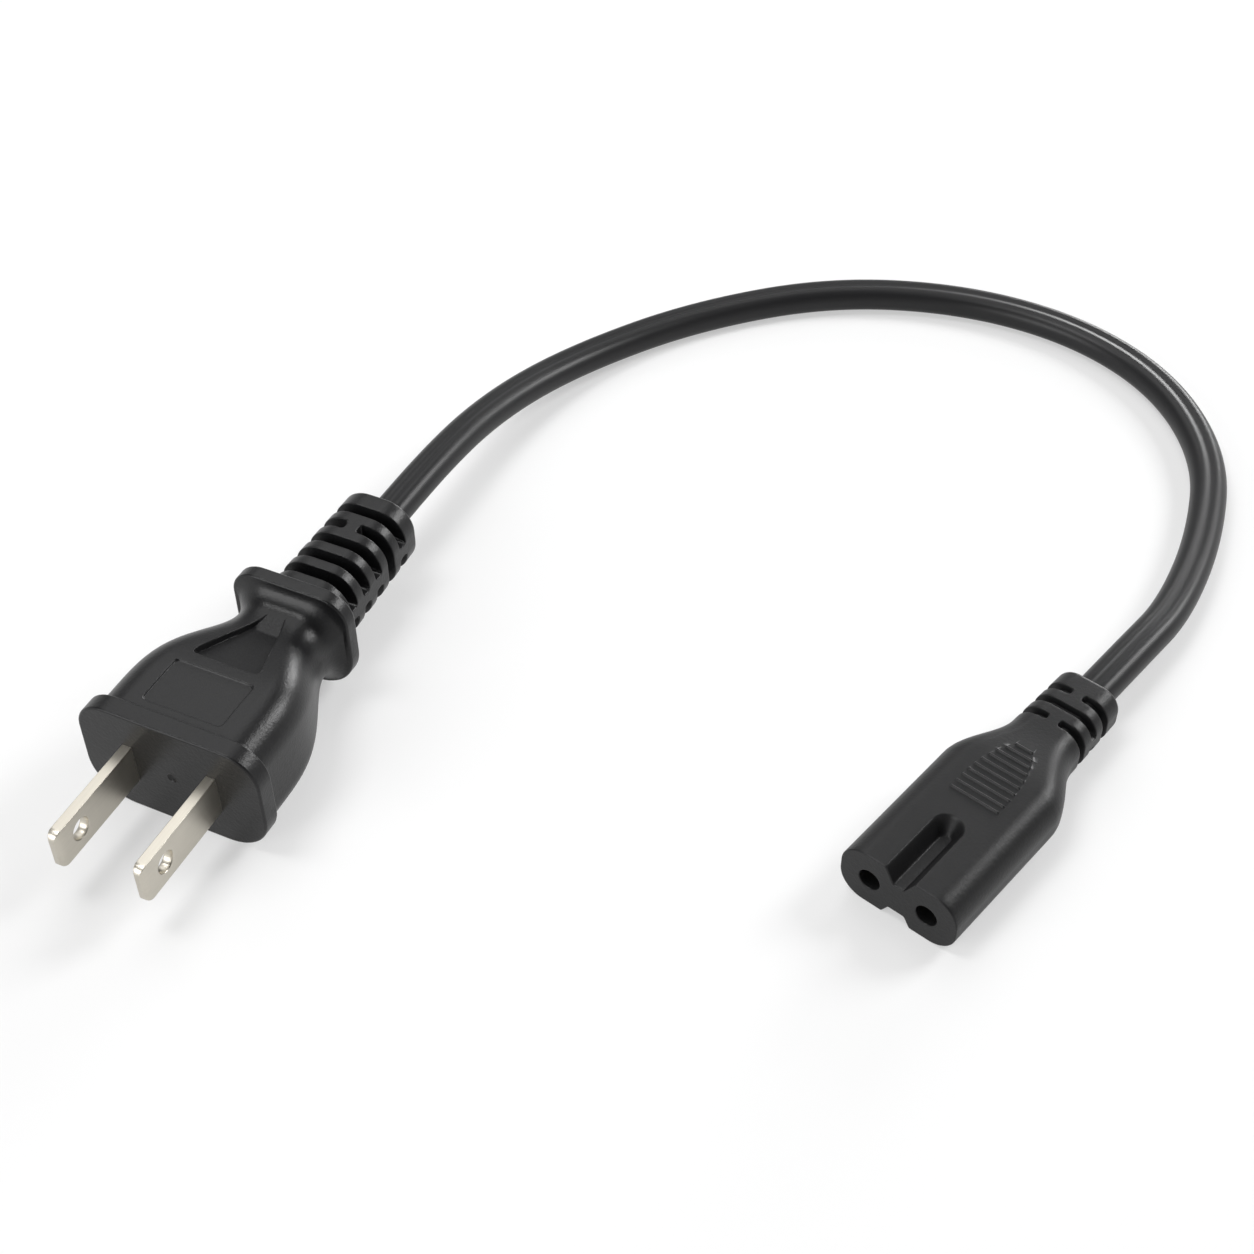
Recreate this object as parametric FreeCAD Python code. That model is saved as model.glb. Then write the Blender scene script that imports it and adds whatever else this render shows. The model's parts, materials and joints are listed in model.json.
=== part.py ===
import FreeCAD, Part
import math
import os

# A two-blade plug moulded onto a flat-oval cord, with a figure-eight connector on the cord's far end.
# Frame: millimetres, +Z up from the floor, blades towards -Y, cord towards +Y, and the origin on the
# floor under the middle of the plug. The plug and the connector are each drawn about their own axis,
# with the mating face at y = 0 and the cord leaving towards +y, and are then set in their places.

# Blades
blade_spacing = 12.7
blade_length = 16.5
blade_width = 6.3
blade_thickness = 1.5
blade_hole_diameter = 3.1
blade_hole_from_face = 11.8
tip_length = 1.3
tip_drop = 1.05
tip_thinning = 0.4

# Crimps on the blades and contacts, and the wires that they hold
crimp_neck_width = 2.2
crimp_neck_length = 2.0
crimp_length = 5.0
crimp_wall = 0.5
conductor_diameter = 1.1
core_diameter = 1.9
core_clearance = 0.1
core_lead = 3.0

# Front flange of the plug
plug_height = 17.5
flange_width = 27.5
flange_depth = 2.8
flange_top_corner = 5.0
flange_bottom_corner = 6.5
flange_front_round = 0.35
flange_rear_round = 0.3
flange_stand = 0.45

# Waisted body of the plug
body_length = 26.5
shoulder_inset = 1.35
shoulder_length = 2.2
body_corner = 4.6
neck_width = 14.2
neck_height = 11.0
waist_skew = 1.7
waist_steps = 6
flare_length = 3.0
flare_power = 2.5
flare_steps = 4

# Collar
collar_width = 18.2
collar_depth = 2.3
collar_lip = 0.8
collar_top_corner = 4.2
collar_bottom_corner = 6.5
collar_front_round = 0.35
collar_rear_round = 0.5

# Recessed panels on top of the body
label_from_face = 4.2
label_length = 8.0
label_width = 12.0
label_depth = 0.3
arrow_from_face = 14.2
arrow_front_width = 10.6
arrow_back_width = 2.6
arrow_depth = 0.9
arrow_ramp = 2.6
panel_corner = 0.6

# Small gate mark on the mating face
gate_diameter = 1.4
gate_depth = 0.25

# Strain relief of the plug
boot_length = 21.9
boot_front_width = 12.3
boot_front_height = 11.6
boot_rear_width = 11.5
boot_rear_height = 10.9
boot_corner = 4.4
boot_round = 0.6
boot_first_ring = 2.5
boot_end_ring = 2.1
boot_slots = ["side", "side", "side", "top", "side"]
slot_width = 1.8
bridge_width = 1.9
sleeve_wall = 0.8

# Hard bridge inside the plug
insert_from_face = 3.0
insert_depth = 6.0
insert_side_wall = 2.9
insert_top_wall = 1.35
jacket_into_collar = 0.8

# Cord: its jacket beside and over the two cores, and its straight run from the plug
jacket_side_wall = 0.75
jacket_top_wall = 1.2
cord_straight = 15.5
cord_arc_share = 0.45

# Connector body
connector_height = 8.8
connector_side_flat = 1.4
face_width = 17.5
grip_width = 17.6
grip_length = 22.0
waist_length = 11.0
connector_neck_width = 10.0
connector_neck_height = 7.8
face_round = 0.25

# Pin holes and contacts
pin_spacing = 8.6
pin_hole_diameter = 3.1
pin_hole_depth = 3.0
contact_bore_diameter = 2.4
contact_wall = 0.3
contact_length = 11.0
contact_floor = 0.6

# Keying slot on top and notch underneath
key_length = 12.2
key_width = 4.4
key_floor_width = 1.6
key_depth = 2.4
notch_width = 4.2
notch_depth = 1.5
notch_floor_width = 2.4

# Grip ridges
ridge_count = 10
ridge_from_face = 15.9
ridge_pitch = 1.28
ridge_width = 0.45
ridge_height = 0.25
ridge_front_length = 7.4
ridge_back_length = 2.8
ridge_taper_power = 3

# Strain relief of the connector
tail_length = 11.5
tail_rear_width = 9.4
tail_rear_height = 7.4
tail_round = 0.7
tail_first_ring = 0.25
tail_end_ring = 2.4
tail_slots = ["top", "side", "top"]
tail_slot_width = 1.3
tail_bridge_width = 1.7
tail_sleeve_wall = 0.6

# Hard bridge inside the connector
holder_seat = 1.4
holder_depth = 2.4
holder_side_wall = 0.8
holder_top_wall = 1.3
jacket_into_neck = 0.8

# Place of the connector on the floor: the middle of its face, and the turn of its axis from +Y
connector_x = 90.0
connector_y = 5.9
connector_turn = -15.5

# Free run of the cord between the two straight ends, chosen by eye along its centre line
cord_points = [
    (0.4, 70.0, 6.0),
    (5.0, 89.0, 3.0),
    (17.0, 108.0, 2.25),
    (35.0, 123.5, 2.25),
    (56.0, 131.0, 2.25),
    (76.0, 130.7, 2.25),
    (93.0, 122.7, 2.25),
    (104.5, 107.5, 2.25),
    (108.3, 89.0, 2.5),
    (107.9, 71.5, 3.5),
]
cord_end_straight = 11.5

# Shortest straight side that is left between two rounded corners
least_flat = 0.2

# Distances behind the plug's mating face
collar_from_face = flange_depth + body_length
boot_from_face = collar_from_face + collar_depth
boot_end = boot_from_face + boot_length
waist_start = flange_depth + shoulder_length
waist_end = collar_from_face - flare_length
arrow_length = waist_end - arrow_from_face
insert_back = insert_from_face + insert_depth
plug_jacket_end = collar_from_face + jacket_into_collar

# Distances behind the connector's face
tail_from_face = grip_length + waist_length
tail_end = tail_from_face + tail_length
contact_back = pin_hole_depth + contact_length
connector_jacket_end = tail_from_face - jacket_into_neck
holder_from_face = contact_back - holder_seat
holder_back = holder_from_face + holder_depth

# Sizes that follow from the pieces held inside
crimp_diameter = conductor_diameter + 2 * crimp_wall
core_spacing = core_diameter + core_clearance
cord_width = core_spacing + core_diameter + 2 * jacket_side_wall
cord_thickness = core_diameter + 2 * jacket_top_wall
contact_diameter = contact_bore_diameter + 2 * contact_wall
insert_width = blade_spacing + blade_thickness + 2 * insert_side_wall
insert_height = blade_width + 2 * insert_top_wall
holder_width = pin_spacing + contact_diameter + 2 * holder_side_wall
holder_height = contact_diameter + 2 * holder_top_wall

# Sizes of the plug that follow from its flange and collar
shoulder_width = flange_width - 2 * shoulder_inset
shoulder_height = plug_height - 2 * flange_stand
collar_height = plug_height - 2 * flange_stand
flare_width = collar_width - 2 * collar_lip
flare_height = collar_height - 2 * collar_lip
plug_middle = (boot_end - blade_length) / 2


def point(x, y, z):
    return FreeCAD.Vector(x, y, z)


def block(width, height, y_start, y_end, x=0.0):
    """A box about the line (x, axis), between two distances along the axis."""
    corner = point(x - width / 2, y_start, -height / 2)
    return Part.makeBox(width, y_end - y_start, height, corner)


def rod(diameter, y_start, y_end, x=0.0):
    return Part.makeCylinder(diameter / 2, y_end - y_start, point(x, y_start, 0), point(0, 1, 0))


def rounded_section(width, height, top_corner, bottom_corner, y):
    """Closed outline across the axis at y: a rectangle with its own top and bottom corner radii."""
    largest = (min(width, height) - least_flat) / 2
    top = min(top_corner, largest)
    bottom = min(bottom_corner, largest)
    arcs = []
    corners = [(1, 1, top, 90), (1, -1, bottom, 0), (-1, -1, bottom, -90), (-1, 1, top, -180)]
    for side, level, radius, start in corners:
        middle = point(side * (width / 2 - radius), y, level * (height / 2 - radius))
        arc = []
        for step in (0, 45, 90):
            angle = math.radians(start - step)
            arc.append(middle + point(math.cos(angle), 0, math.sin(angle)) * radius)
        arcs.append(arc)
    edges = []
    for index, arc in enumerate(arcs):
        following = arcs[(index + 1) % len(arcs)]
        edges.append(Part.Arc(*arc).toShape())
        edges.append(Part.LineSegment(arc[-1], following[0]).toShape())
    return Part.Wire(edges)


def prism(section, depth):
    return Part.Face(section).extrude(point(0, depth, 0))


def polygon_prism(outline, direction):
    return Part.Face(Part.makePolygon(outline + outline[:1])).extrude(direction)


def round_edges_at(shape, y, radius):
    """Rounds the outline that lies in the plane at y."""
    edges = [edge for edge in shape.Edges if all(abs(v.Y - y) < 1e-6 for v in edge.Vertexes)]
    return shape.makeFillet(radius, edges)


def tangent_path(corners):
    """Straight runs joined by arcs as large as the runs allow, and the radius at each turn."""
    edges = []
    radii = []
    start = corners[0]
    for before, corner, after in zip(corners, corners[1:], corners[2:]):
        arriving = (corner - before).normalize()
        leaving = (after - corner).normalize()
        half_turn = arriving.getAngle(leaving) / 2
        reach = cord_arc_share * min(before.distanceToPoint(corner), corner.distanceToPoint(after))
        radius = reach / math.tan(half_turn)
        first = corner - arriving * reach
        last = corner + leaving * reach
        inward = (leaving - arriving).normalize()
        middle = corner + inward * (radius / math.cos(half_turn) - radius)
        edges.append(Part.LineSegment(start, first).toShape())
        edges.append(Part.Arc(first, middle, last).toShape())
        radii.append(radius)
        start = last
    edges.append(Part.LineSegment(start, corners[-1]).toShape())
    return Part.Wire(edges), radii


def sweep(section, path):
    """Solid swept along a path that keeps the section's own top upwards."""
    shell = Part.BRepOffsetAPI.MakePipeShell(path)
    shell.setBiNormalMode(point(0, 0, 1))
    shell.add(section)
    shell.build()
    shell.makeSolid()
    return shell.shape()


def core_corners(side, far_spacing, far_y, near_y):
    """Centre line of one core, from its crimp to the end of the cord's jacket."""
    far_x = side * far_spacing / 2
    near_x = side * core_spacing / 2
    line = [(far_x, far_y), (far_x, far_y + core_lead), (near_x, near_y - core_lead), (near_x, near_y)]
    return [point(x, y, 0) for x, y in line]


def wire_pair(side, spacing, crimp_front, near_y):
    """One core: its insulation, and the conductor that runs on bare into the crimp."""
    crimp_end = crimp_front + crimp_length
    path = tangent_path(core_corners(side, spacing, crimp_end, near_y))[0]
    start = point(side * spacing / 2, crimp_end, 0)
    pipes = []
    for diameter in (core_diameter, conductor_diameter):
        circle = Part.Wire(Part.makeCircle(diameter / 2, start, point(0, 1, 0)))
        pipes.append(path.makePipe(Part.Face(circle)))
    jacketed, strand = pipes
    bare = rod(conductor_diameter, crimp_front + crimp_wall, crimp_end, side * spacing / 2)
    return jacketed.cut(strand), strand.fuse(bare).removeSplitter()


def crimp(x, front):
    """Crimp barrel closed round the conductor, on the narrow neck of a stamping."""
    barrel = rod(crimp_diameter, front, front + crimp_length, x)
    return barrel.cut(rod(conductor_diameter, front + crimp_wall, front + crimp_length, x))


def blade(side):
    """Flat blade with a tapered tip and a hole, and its crimp behind the bridge."""
    x = side * blade_spacing / 2
    tip_start = -blade_length + tip_length
    plate = block(blade_thickness, blade_width, tip_start, insert_back, x)
    ends = []
    for y, thin, drop in ((tip_start, 0, 0), (-blade_length, tip_thinning, tip_drop)):
        half_t = blade_thickness / 2 - thin
        half_w = blade_width / 2 - drop
        outline = [point(x + a * half_t, y, b * half_w) for a, b in ((-1, -1), (1, -1), (1, 1), (-1, 1))]
        ends.append(Part.makePolygon(outline + outline[:1]))
    tip = Part.makeLoft(ends, True, True)
    crimp_front = insert_back + crimp_neck_length
    neck = block(blade_thickness, crimp_neck_width, insert_back, crimp_front, x)
    hole_start = point(x - blade_thickness, -blade_hole_from_face, 0)
    hole = Part.makeCylinder(blade_hole_diameter / 2, 2 * blade_thickness, hole_start, point(1, 0, 0))
    return plate.multiFuse([tip, neck, crimp(x, crimp_front)]).removeSplitter().cut(hole)


def contact_bore(side):
    return rod(contact_bore_diameter, pin_hole_depth, contact_back - contact_floor, side * pin_spacing / 2)


def contact(side):
    """Tubular pin contact with a closed back and its crimp."""
    x = side * pin_spacing / 2
    tube = rod(contact_diameter, pin_hole_depth, contact_back, x).cut(contact_bore(side))
    crimp_front = contact_back + crimp_neck_length
    neck = block(crimp_neck_width, crimp_wall, contact_back, crimp_front, x)
    return tube.multiFuse([neck, crimp(x, crimp_front)]).removeSplitter()


def eased(share):
    """Share of a change that starts and ends level."""
    return (1 - math.cos(math.pi * min(max(share, 0), 1))) / 2


def waist(y, wide, narrow):
    """Size of the plug's body at y: full at the shoulder, then drawn in late to the neck."""
    share = min(max((y - waist_start) / (waist_end - waist_start), 0), 1)
    return wide - (wide - narrow) * eased(share ** waist_skew)


def even_steps(start, end, count):
    return [start + (end - start) * step / count for step in range(count + 1)]


def body_section(y):
    width = waist(y, shoulder_width, neck_width)
    height = waist(y, shoulder_height, neck_height)
    return rounded_section(width, height, body_corner, body_corner, y)


def flare_section(y):
    """Section of the flare that runs from the neck up to the collar."""
    growth = ((y - waist_end) / flare_length) ** flare_power
    width = neck_width + (flare_width - neck_width) * growth
    height = neck_height + (flare_height - neck_height) * growth
    return rounded_section(width, height, body_corner, body_corner, y)


def body_top(y):
    return waist(y, shoulder_height, neck_height) / 2


def panel_cutter(front, length, front_width, back_width, depth, ramp):
    """Cutter for a recess in the top of the body: an outline in plan, down to a floor along the body."""
    clear = plug_height
    back = front + length
    corners = [(-front_width, front), (front_width, front), (back_width, back), (-back_width, back)]
    outline = [point(width / 2, y, 0) for width, y in corners]
    column = polygon_prism(outline, point(0, 0, clear))
    upright = [edge for edge in column.Edges if abs(edge.Vertexes[0].Z - edge.Vertexes[-1].Z) > clear / 2]
    column = column.makeFillet(panel_corner, upright)
    ramp_foot = back - ramp
    side = [(front, body_top(front) - depth), (ramp_foot, body_top(ramp_foot) - depth)]
    if ramp > 0:
        side.append((back, body_top(back)))
    side += [(back + clear, clear), (front, clear)]
    wall = [point(-clear, y, z) for y, z in side]
    return column.common(polygon_prism(wall, point(2 * clear, 0, 0)))


def slot_cutters(kinds, first, last, width, bridge, wall):
    """Cutters for the slots of a strain relief, each split by two bridges and ending at a sleeve."""
    pitch = (last - first) / len(kinds)
    reach = flange_width
    sleeve = block(cord_width + 2 * wall, cord_thickness + 2 * wall, first, last)
    cutters = []
    for index, kind in enumerate(kinds):
        start = first + index * pitch + (pitch - width) / 2
        end = start + width
        across, upright = (reach, bridge) if kind == "side" else (bridge, reach)
        ring = block(reach, reach, start, end).cut(sleeve)
        cutters.append(ring.cut(block(across, upright, start, end)))
    return cutters


def plug_moulding():
    """Outer form of the plug, solid inside."""
    flange_outline = rounded_section(flange_width, plug_height, flange_top_corner, flange_bottom_corner, 0)
    flange = prism(flange_outline, flange_depth)
    flange = round_edges_at(flange, 0, flange_front_round)
    flange = round_edges_at(flange, flange_depth, flange_rear_round)
    shoulder = prism(body_section(flange_depth / 2), waist_start - flange_depth / 2)
    stations = even_steps(waist_start, waist_end, waist_steps)
    body = Part.makeLoft([body_section(y) for y in stations], True, False)
    flare_stations = even_steps(waist_end, collar_from_face, flare_steps)
    flare = Part.makeLoft([flare_section(y) for y in flare_stations], True, False)
    collar_outline = rounded_section(
        collar_width, collar_height, collar_top_corner, collar_bottom_corner, collar_from_face
    )
    collar = prism(collar_outline, collar_depth)
    collar = round_edges_at(collar, collar_from_face, collar_front_round)
    collar = round_edges_at(collar, boot_from_face, collar_rear_round)
    boot_start = boot_from_face - collar_depth / 2
    front = rounded_section(boot_front_width, boot_front_height, boot_corner, boot_corner, boot_start)
    rear = rounded_section(boot_rear_width, boot_rear_height, boot_corner, boot_corner, boot_end)
    boot = round_edges_at(Part.makeLoft([front, rear], True, True), boot_end, boot_round)
    first_slot = boot_from_face + boot_first_ring
    last_slot = boot_end - boot_end_ring
    slot = (slot_width, bridge_width, sleeve_wall)
    cutters = slot_cutters(boot_slots, first_slot, last_slot, *slot)
    panels = [
        (label_from_face, label_length, label_width, label_width, label_depth, 0),
        (arrow_from_face, arrow_length, arrow_front_width, arrow_back_width, arrow_depth, arrow_ramp),
    ]
    cutters += [panel_cutter(*panel) for panel in panels]
    cutters.append(rod(gate_diameter, 0, gate_depth))
    return flange.multiFuse([shoulder, body, flare, collar, boot]).removeSplitter().cut(cutters)


def connector_width(y):
    """Width of the connector at y: a slight flare to the grip, then a drawn-in waist."""
    if y <= grip_length:
        return face_width + (grip_width - face_width) * y / grip_length
    return grip_width - (grip_width - connector_neck_width) * eased((y - grip_length) / waist_length)


def connector_depth(y):
    """Height of the connector at y: full along the grip, then eased to the neck's over the waist."""
    share = eased((y - grip_length) / waist_length)
    return connector_height - (connector_height - connector_neck_height) * share


def connector_outline(width, height, y):
    corner = (height - connector_side_flat) / 2
    return rounded_section(width, height, corner, corner, y)


def connector_section(y):
    return connector_outline(connector_width(y), connector_depth(y), y)


def key_cutter(width, floor_width, depth, level):
    """Tapered groove with a round end, in the top (level 1) or underside (level -1) of the nose."""
    top = connector_height / 2 * level
    floor = top - depth * level
    slope = (width - floor_width) / 2 / depth
    mouth = top + depth * level
    half_floor = floor_width / 2
    half_mouth = width / 2 + slope * depth
    outline = [(-half_mouth, mouth), (half_mouth, mouth), (half_floor, floor), (-half_floor, floor)]
    end = key_length - width / 2
    groove = polygon_prism([point(x, -depth, z) for x, z in outline], point(0, end + depth, 0))
    tip = Part.makeCone(half_floor, half_mouth, 2 * depth, point(0, end, floor), point(0, 0, level))
    return groove.fuse(tip)


def ridges():
    """Low grip ridges across the top: even ones in front, then ever shorter ones towards the waist."""
    bars = []
    for index in range(ridge_count):
        y = ridge_from_face + index * ridge_pitch
        share = (index / (ridge_count - 1)) ** ridge_taper_power
        length = ridge_front_length + (ridge_back_length - ridge_front_length) * share
        top = connector_depth(y + ridge_width) / 2 + ridge_height
        bars.append(Part.makeBox(length, ridge_width, top, point(-length / 2, y, 0)))
    return bars


def connector_moulding():
    """Outer form of the connector, solid inside."""
    nose = Part.makeLoft([connector_section(0), connector_section(grip_length)], True, True)
    nose = round_edges_at(nose, 0, face_round)
    stations = even_steps(grip_length, tail_from_face, waist_steps)
    drawn_in = Part.makeLoft([connector_section(y) for y in stations], True, False)
    front = connector_section(tail_from_face)
    rear = connector_outline(tail_rear_width, tail_rear_height, tail_end)
    tail = round_edges_at(Part.makeLoft([front, rear], True, True), tail_end, tail_round)
    first_slot = tail_from_face + tail_first_ring
    last_slot = tail_end - tail_end_ring
    slot = (tail_slot_width, tail_bridge_width, tail_sleeve_wall)
    cutters = slot_cutters(tail_slots, first_slot, last_slot, *slot)
    cutters.append(key_cutter(key_width, key_floor_width, key_depth, 1))
    cutters.append(key_cutter(notch_width, notch_floor_width, notch_depth, -1))
    for side in (-1, 1):
        cutters.append(rod(pin_hole_diameter, 0, pin_hole_depth, side * pin_spacing / 2))
    return nose.multiFuse([drawn_in, tail] + ridges()).removeSplitter().cut(cutters)


def place_plug(shape):
    return shape.translated(point(0, -plug_middle, plug_height / 2))


def connector_place():
    turn = FreeCAD.Rotation(point(0, 0, 1), connector_turn)
    return FreeCAD.Placement(point(connector_x, connector_y, connector_height / 2), turn)


def place_connector(shape):
    turned = shape.copy()
    turned.Placement = connector_place()
    return turned


def cord_section(y):
    """Flat-oval outline of the cord, with fully rounded sides."""
    return rounded_section(cord_width, cord_thickness, cord_thickness / 2, cord_thickness / 2, y)


def plug_pieces():
    """The plug's pieces about its own axis, with the moulding cut to what it holds."""
    pieces = {"plug_insert": block(insert_width, insert_height, insert_from_face, insert_back)}
    jacket = prism(cord_section(plug_jacket_end), boot_end - plug_jacket_end)
    crimp_front = insert_back + crimp_neck_length
    for name, side in (("left", -1), ("right", 1)):
        pieces["blade_" + name] = blade(side)
        core, conductor = wire_pair(side, blade_spacing, crimp_front, plug_jacket_end)
        pieces["plug_core_" + name] = core
        pieces["plug_conductor_" + name] = conductor
    blades = [pieces["blade_left"], pieces["blade_right"]]
    held = list(pieces.values()) + [jacket]
    pieces["plug_insert"] = pieces["plug_insert"].cut(blades)
    pieces["plug_overmould"] = plug_moulding().cut(held)
    return {name: place_plug(shape) for name, shape in pieces.items()}, place_plug(jacket)


def connector_pieces():
    """The connector's pieces about its own axis, with the moulding cut to what it holds."""
    pieces = {"connector_insert": block(holder_width, holder_height, holder_from_face, holder_back)}
    jacket = prism(cord_section(connector_jacket_end), tail_end - connector_jacket_end)
    crimp_front = contact_back + crimp_neck_length
    bores = []
    for name, side in (("left", -1), ("right", 1)):
        pieces["contact_" + name] = contact(side)
        core, conductor = wire_pair(side, pin_spacing, crimp_front, connector_jacket_end)
        pieces["connector_core_" + name] = core
        pieces["connector_conductor_" + name] = conductor
        bores.append(contact_bore(side))
    contacts = [pieces["contact_left"], pieces["contact_right"]]
    held = list(pieces.values()) + bores + [jacket]
    pieces["connector_insert"] = pieces["connector_insert"].cut(contacts + bores)
    pieces["connector_overmould"] = connector_moulding().cut(held)
    return {name: place_connector(shape) for name, shape in pieces.items()}, place_connector(jacket)


def cord_solid(plug_jacket, connector_jacket):
    """The cord in one piece: its free run, and the straight ends inside the two strain reliefs."""
    exit_y = boot_end - plug_middle
    axis = plug_height / 2
    corners = [point(0, exit_y, axis), point(0, exit_y + cord_straight, axis)]
    corners += [point(*place) for place in cord_points]
    corners += [connector_place().multVec(point(0, y, 0)) for y in (tail_end + cord_end_straight, tail_end)]
    path, radii = tangent_path(corners)
    section = cord_section(exit_y)
    section.translate(point(0, 0, axis))
    tube = sweep(section, path)
    area = Part.Face(section).Area
    print("cord: free length %.1f mm, bend radii mm:" % path.Length, ", ".join("%.0f" % r for r in radii))
    print("cord: volume %.1f, section times length %.1f" % (tube.Volume, area * path.Length))
    return tube.multiFuse([plug_jacket, connector_jacket]).removeSplitter()


def main():
    os.makedirs("parts", exist_ok=True)
    nodes, plug_jacket = plug_pieces()
    connector_nodes, connector_jacket = connector_pieces()
    nodes.update(connector_nodes)
    nodes["cord"] = cord_solid(plug_jacket, connector_jacket)
    for name, shape in sorted(nodes.items()):
        solids = shape.Solids
        print("%s: %d solid, valid %s, volume %.1f" % (name, len(solids), shape.isValid(), shape.Volume))
        shape.exportStep("parts/" + name + ".step")


main()
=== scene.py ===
"""Looks of a moulded two-blade plug, its flat-oval cord and its figure-eight connector, on the frame."""

import json
import logging
import math
from dataclasses import dataclass
from enum import Enum
from typing import Any, Iterable, Optional, Sequence, Union

import bmesh
import bpy
import numpy as np
from mathutils import Matrix, Vector

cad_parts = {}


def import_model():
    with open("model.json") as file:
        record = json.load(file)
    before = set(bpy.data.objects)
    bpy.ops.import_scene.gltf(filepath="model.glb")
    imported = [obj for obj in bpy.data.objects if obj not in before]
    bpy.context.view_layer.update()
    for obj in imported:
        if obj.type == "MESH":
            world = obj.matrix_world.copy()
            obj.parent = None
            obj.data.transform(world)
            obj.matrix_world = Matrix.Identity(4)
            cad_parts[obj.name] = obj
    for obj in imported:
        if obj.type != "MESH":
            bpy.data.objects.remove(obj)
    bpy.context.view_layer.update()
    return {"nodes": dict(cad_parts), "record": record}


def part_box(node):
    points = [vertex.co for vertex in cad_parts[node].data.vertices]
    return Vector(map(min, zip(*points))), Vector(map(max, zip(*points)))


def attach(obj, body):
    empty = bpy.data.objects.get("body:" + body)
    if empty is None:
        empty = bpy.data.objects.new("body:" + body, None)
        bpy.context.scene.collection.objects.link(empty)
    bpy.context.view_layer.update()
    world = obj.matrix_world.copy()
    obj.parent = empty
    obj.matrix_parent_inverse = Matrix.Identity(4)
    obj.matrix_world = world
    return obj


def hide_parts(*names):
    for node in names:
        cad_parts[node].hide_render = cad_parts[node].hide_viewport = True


LOG = logging.getLogger("plug_scene")
MM = 0.001
ROOT = "root"
IMAGE_PIXELS = 1254
SENSOR_MM = 36.0
NEAR_CLIP = 0.01
SHARP_ANGLE = math.radians(42)
LEAST_GAP = 0.04
LEAST_CORNER = 0.05
LEAST_STEP = 1e-4
LEAST_LENGTH = 1e-9
WHITE = (1.0, 1.0, 1.0, 1.0)

Pair = tuple[float, float]
Triple = tuple[float, float, float]
Colour = tuple[float, float, float]
Shares = tuple[float, ...]
Loop = list[bmesh.types.BMVert]


class SlotKind(Enum):
    """Where the two bridges of a strain-relief slot stand."""

    SIDE = "side"
    TOP = "top"


class Flow:
    """A node socket that takes part in Python arithmetic by adding Math nodes to its sheet."""

    def __init__(self, sheet: "NodeSheet", socket: bpy.types.NodeSocket) -> None:
        """Keeps the sheet and the output socket."""
        self.sheet = sheet
        self.socket = socket

    def _math(self, operation: str, first: "Value", second: "Value") -> "Flow":
        """Result of one new Math node."""
        return self.sheet.node("ShaderNodeMath", {"operation": operation}, {0: first, 1: second})

    def __add__(self, other: "Value") -> "Flow":
        """Sum."""
        return self._math("ADD", self, other)

    def __radd__(self, other: "Value") -> "Flow":
        """Sum with a number on the left."""
        return self._math("ADD", other, self)

    def __sub__(self, other: "Value") -> "Flow":
        """Difference."""
        return self._math("SUBTRACT", self, other)

    def __rsub__(self, other: "Value") -> "Flow":
        """Difference from a number on the left."""
        return self._math("SUBTRACT", other, self)

    def __mul__(self, other: "Value") -> "Flow":
        """Product."""
        return self._math("MULTIPLY", self, other)

    def __rmul__(self, other: "Value") -> "Flow":
        """Product with a number on the left."""
        return self._math("MULTIPLY", other, self)

    def maximum(self, other: "Value") -> "Flow":
        """The larger of two values."""
        return self._math("MAXIMUM", self, other)


Value = Union[Flow, float, Sequence[float]]


class NodeSheet:
    """Node tree of one material or of the world, with one method that adds any node."""

    def __init__(self, owner: Union[bpy.types.Material, bpy.types.World]) -> None:
        """Clears the owner's node tree.

        Args:
            owner: Material or world to draw in.
        """
        owner.use_nodes = True
        self.tree = owner.node_tree
        self.tree.nodes.clear()

    @staticmethod
    def _pick(sockets: Iterable[bpy.types.NodeSocket], key: Union[str, int]) -> bpy.types.NodeSocket:
        """Finds a socket.

        Args:
            sockets: Inputs or outputs of a node.
            key: Place, identifier or name.

        Returns:
            The socket.
        """
        found = list(sockets)
        if isinstance(key, int):
            return found[key]
        return next(socket for socket in found if key in (socket.identifier, socket.name))

    def node(self, kind: str, settings: Optional[dict[str, Any]] = None,
             sockets: Optional[dict[Union[str, int], Value]] = None, output: Union[str, int] = 0) -> Flow:
        """Adds a node, sets it up, then fills or links its sockets.

        Args:
            kind: Blender's name of the node type.
            settings: Properties to set first.
            sockets: Values or flows for the inputs, by name, identifier or place.
            output: Output to return, by name, identifier or place.

        Returns:
            The chosen output.
        """
        made = self.tree.nodes.new(kind)
        for name, value in (settings or {}).items():
            setattr(made, name, value)
        for key, value in (sockets or {}).items():
            socket = self._pick(made.inputs, key)
            if isinstance(value, Flow):
                self.tree.links.new(value.socket, socket)
            else:
                socket.default_value = value
        return Flow(self, self._pick(made.outputs, output) if len(made.outputs) else None)

    def ranged(self, value: Flow, source: Pair, result: Pair) -> Flow:
        """A value taken smoothly from one range to another and held at its ends.

        Args:
            value: Value to map.
            source: Range that it comes from.
            result: Range that it goes to.

        Returns:
            The mapped value.
        """
        sockets = {"Value": value, "From Min": source[0], "From Max": source[1],
                   "To Min": result[0], "To Max": result[1]}
        return self.node("ShaderNodeMapRange", {"interpolation_type": "SMOOTHSTEP"}, sockets, "Result")

    def seen(self) -> Flow:
        """Tells rays that are seen from light that falls on other things.

        Returns:
            1 for rays from the camera and for reflections, 0 for other light.
        """
        camera = self.node("ShaderNodeLightPath", None, None, "Is Camera Ray")
        outputs = camera.socket.node.outputs
        glossy, through = (Flow(self, outputs[name]) for name in ("Is Glossy Ray", "Is Transmission Ray"))
        return camera.maximum(glossy).maximum(through)

    def close(self, shader: Flow, kind: str = "ShaderNodeOutputMaterial") -> None:
        """Links a shader to the sheet's output node."""
        self.node(kind, None, {"Surface": shader})


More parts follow.
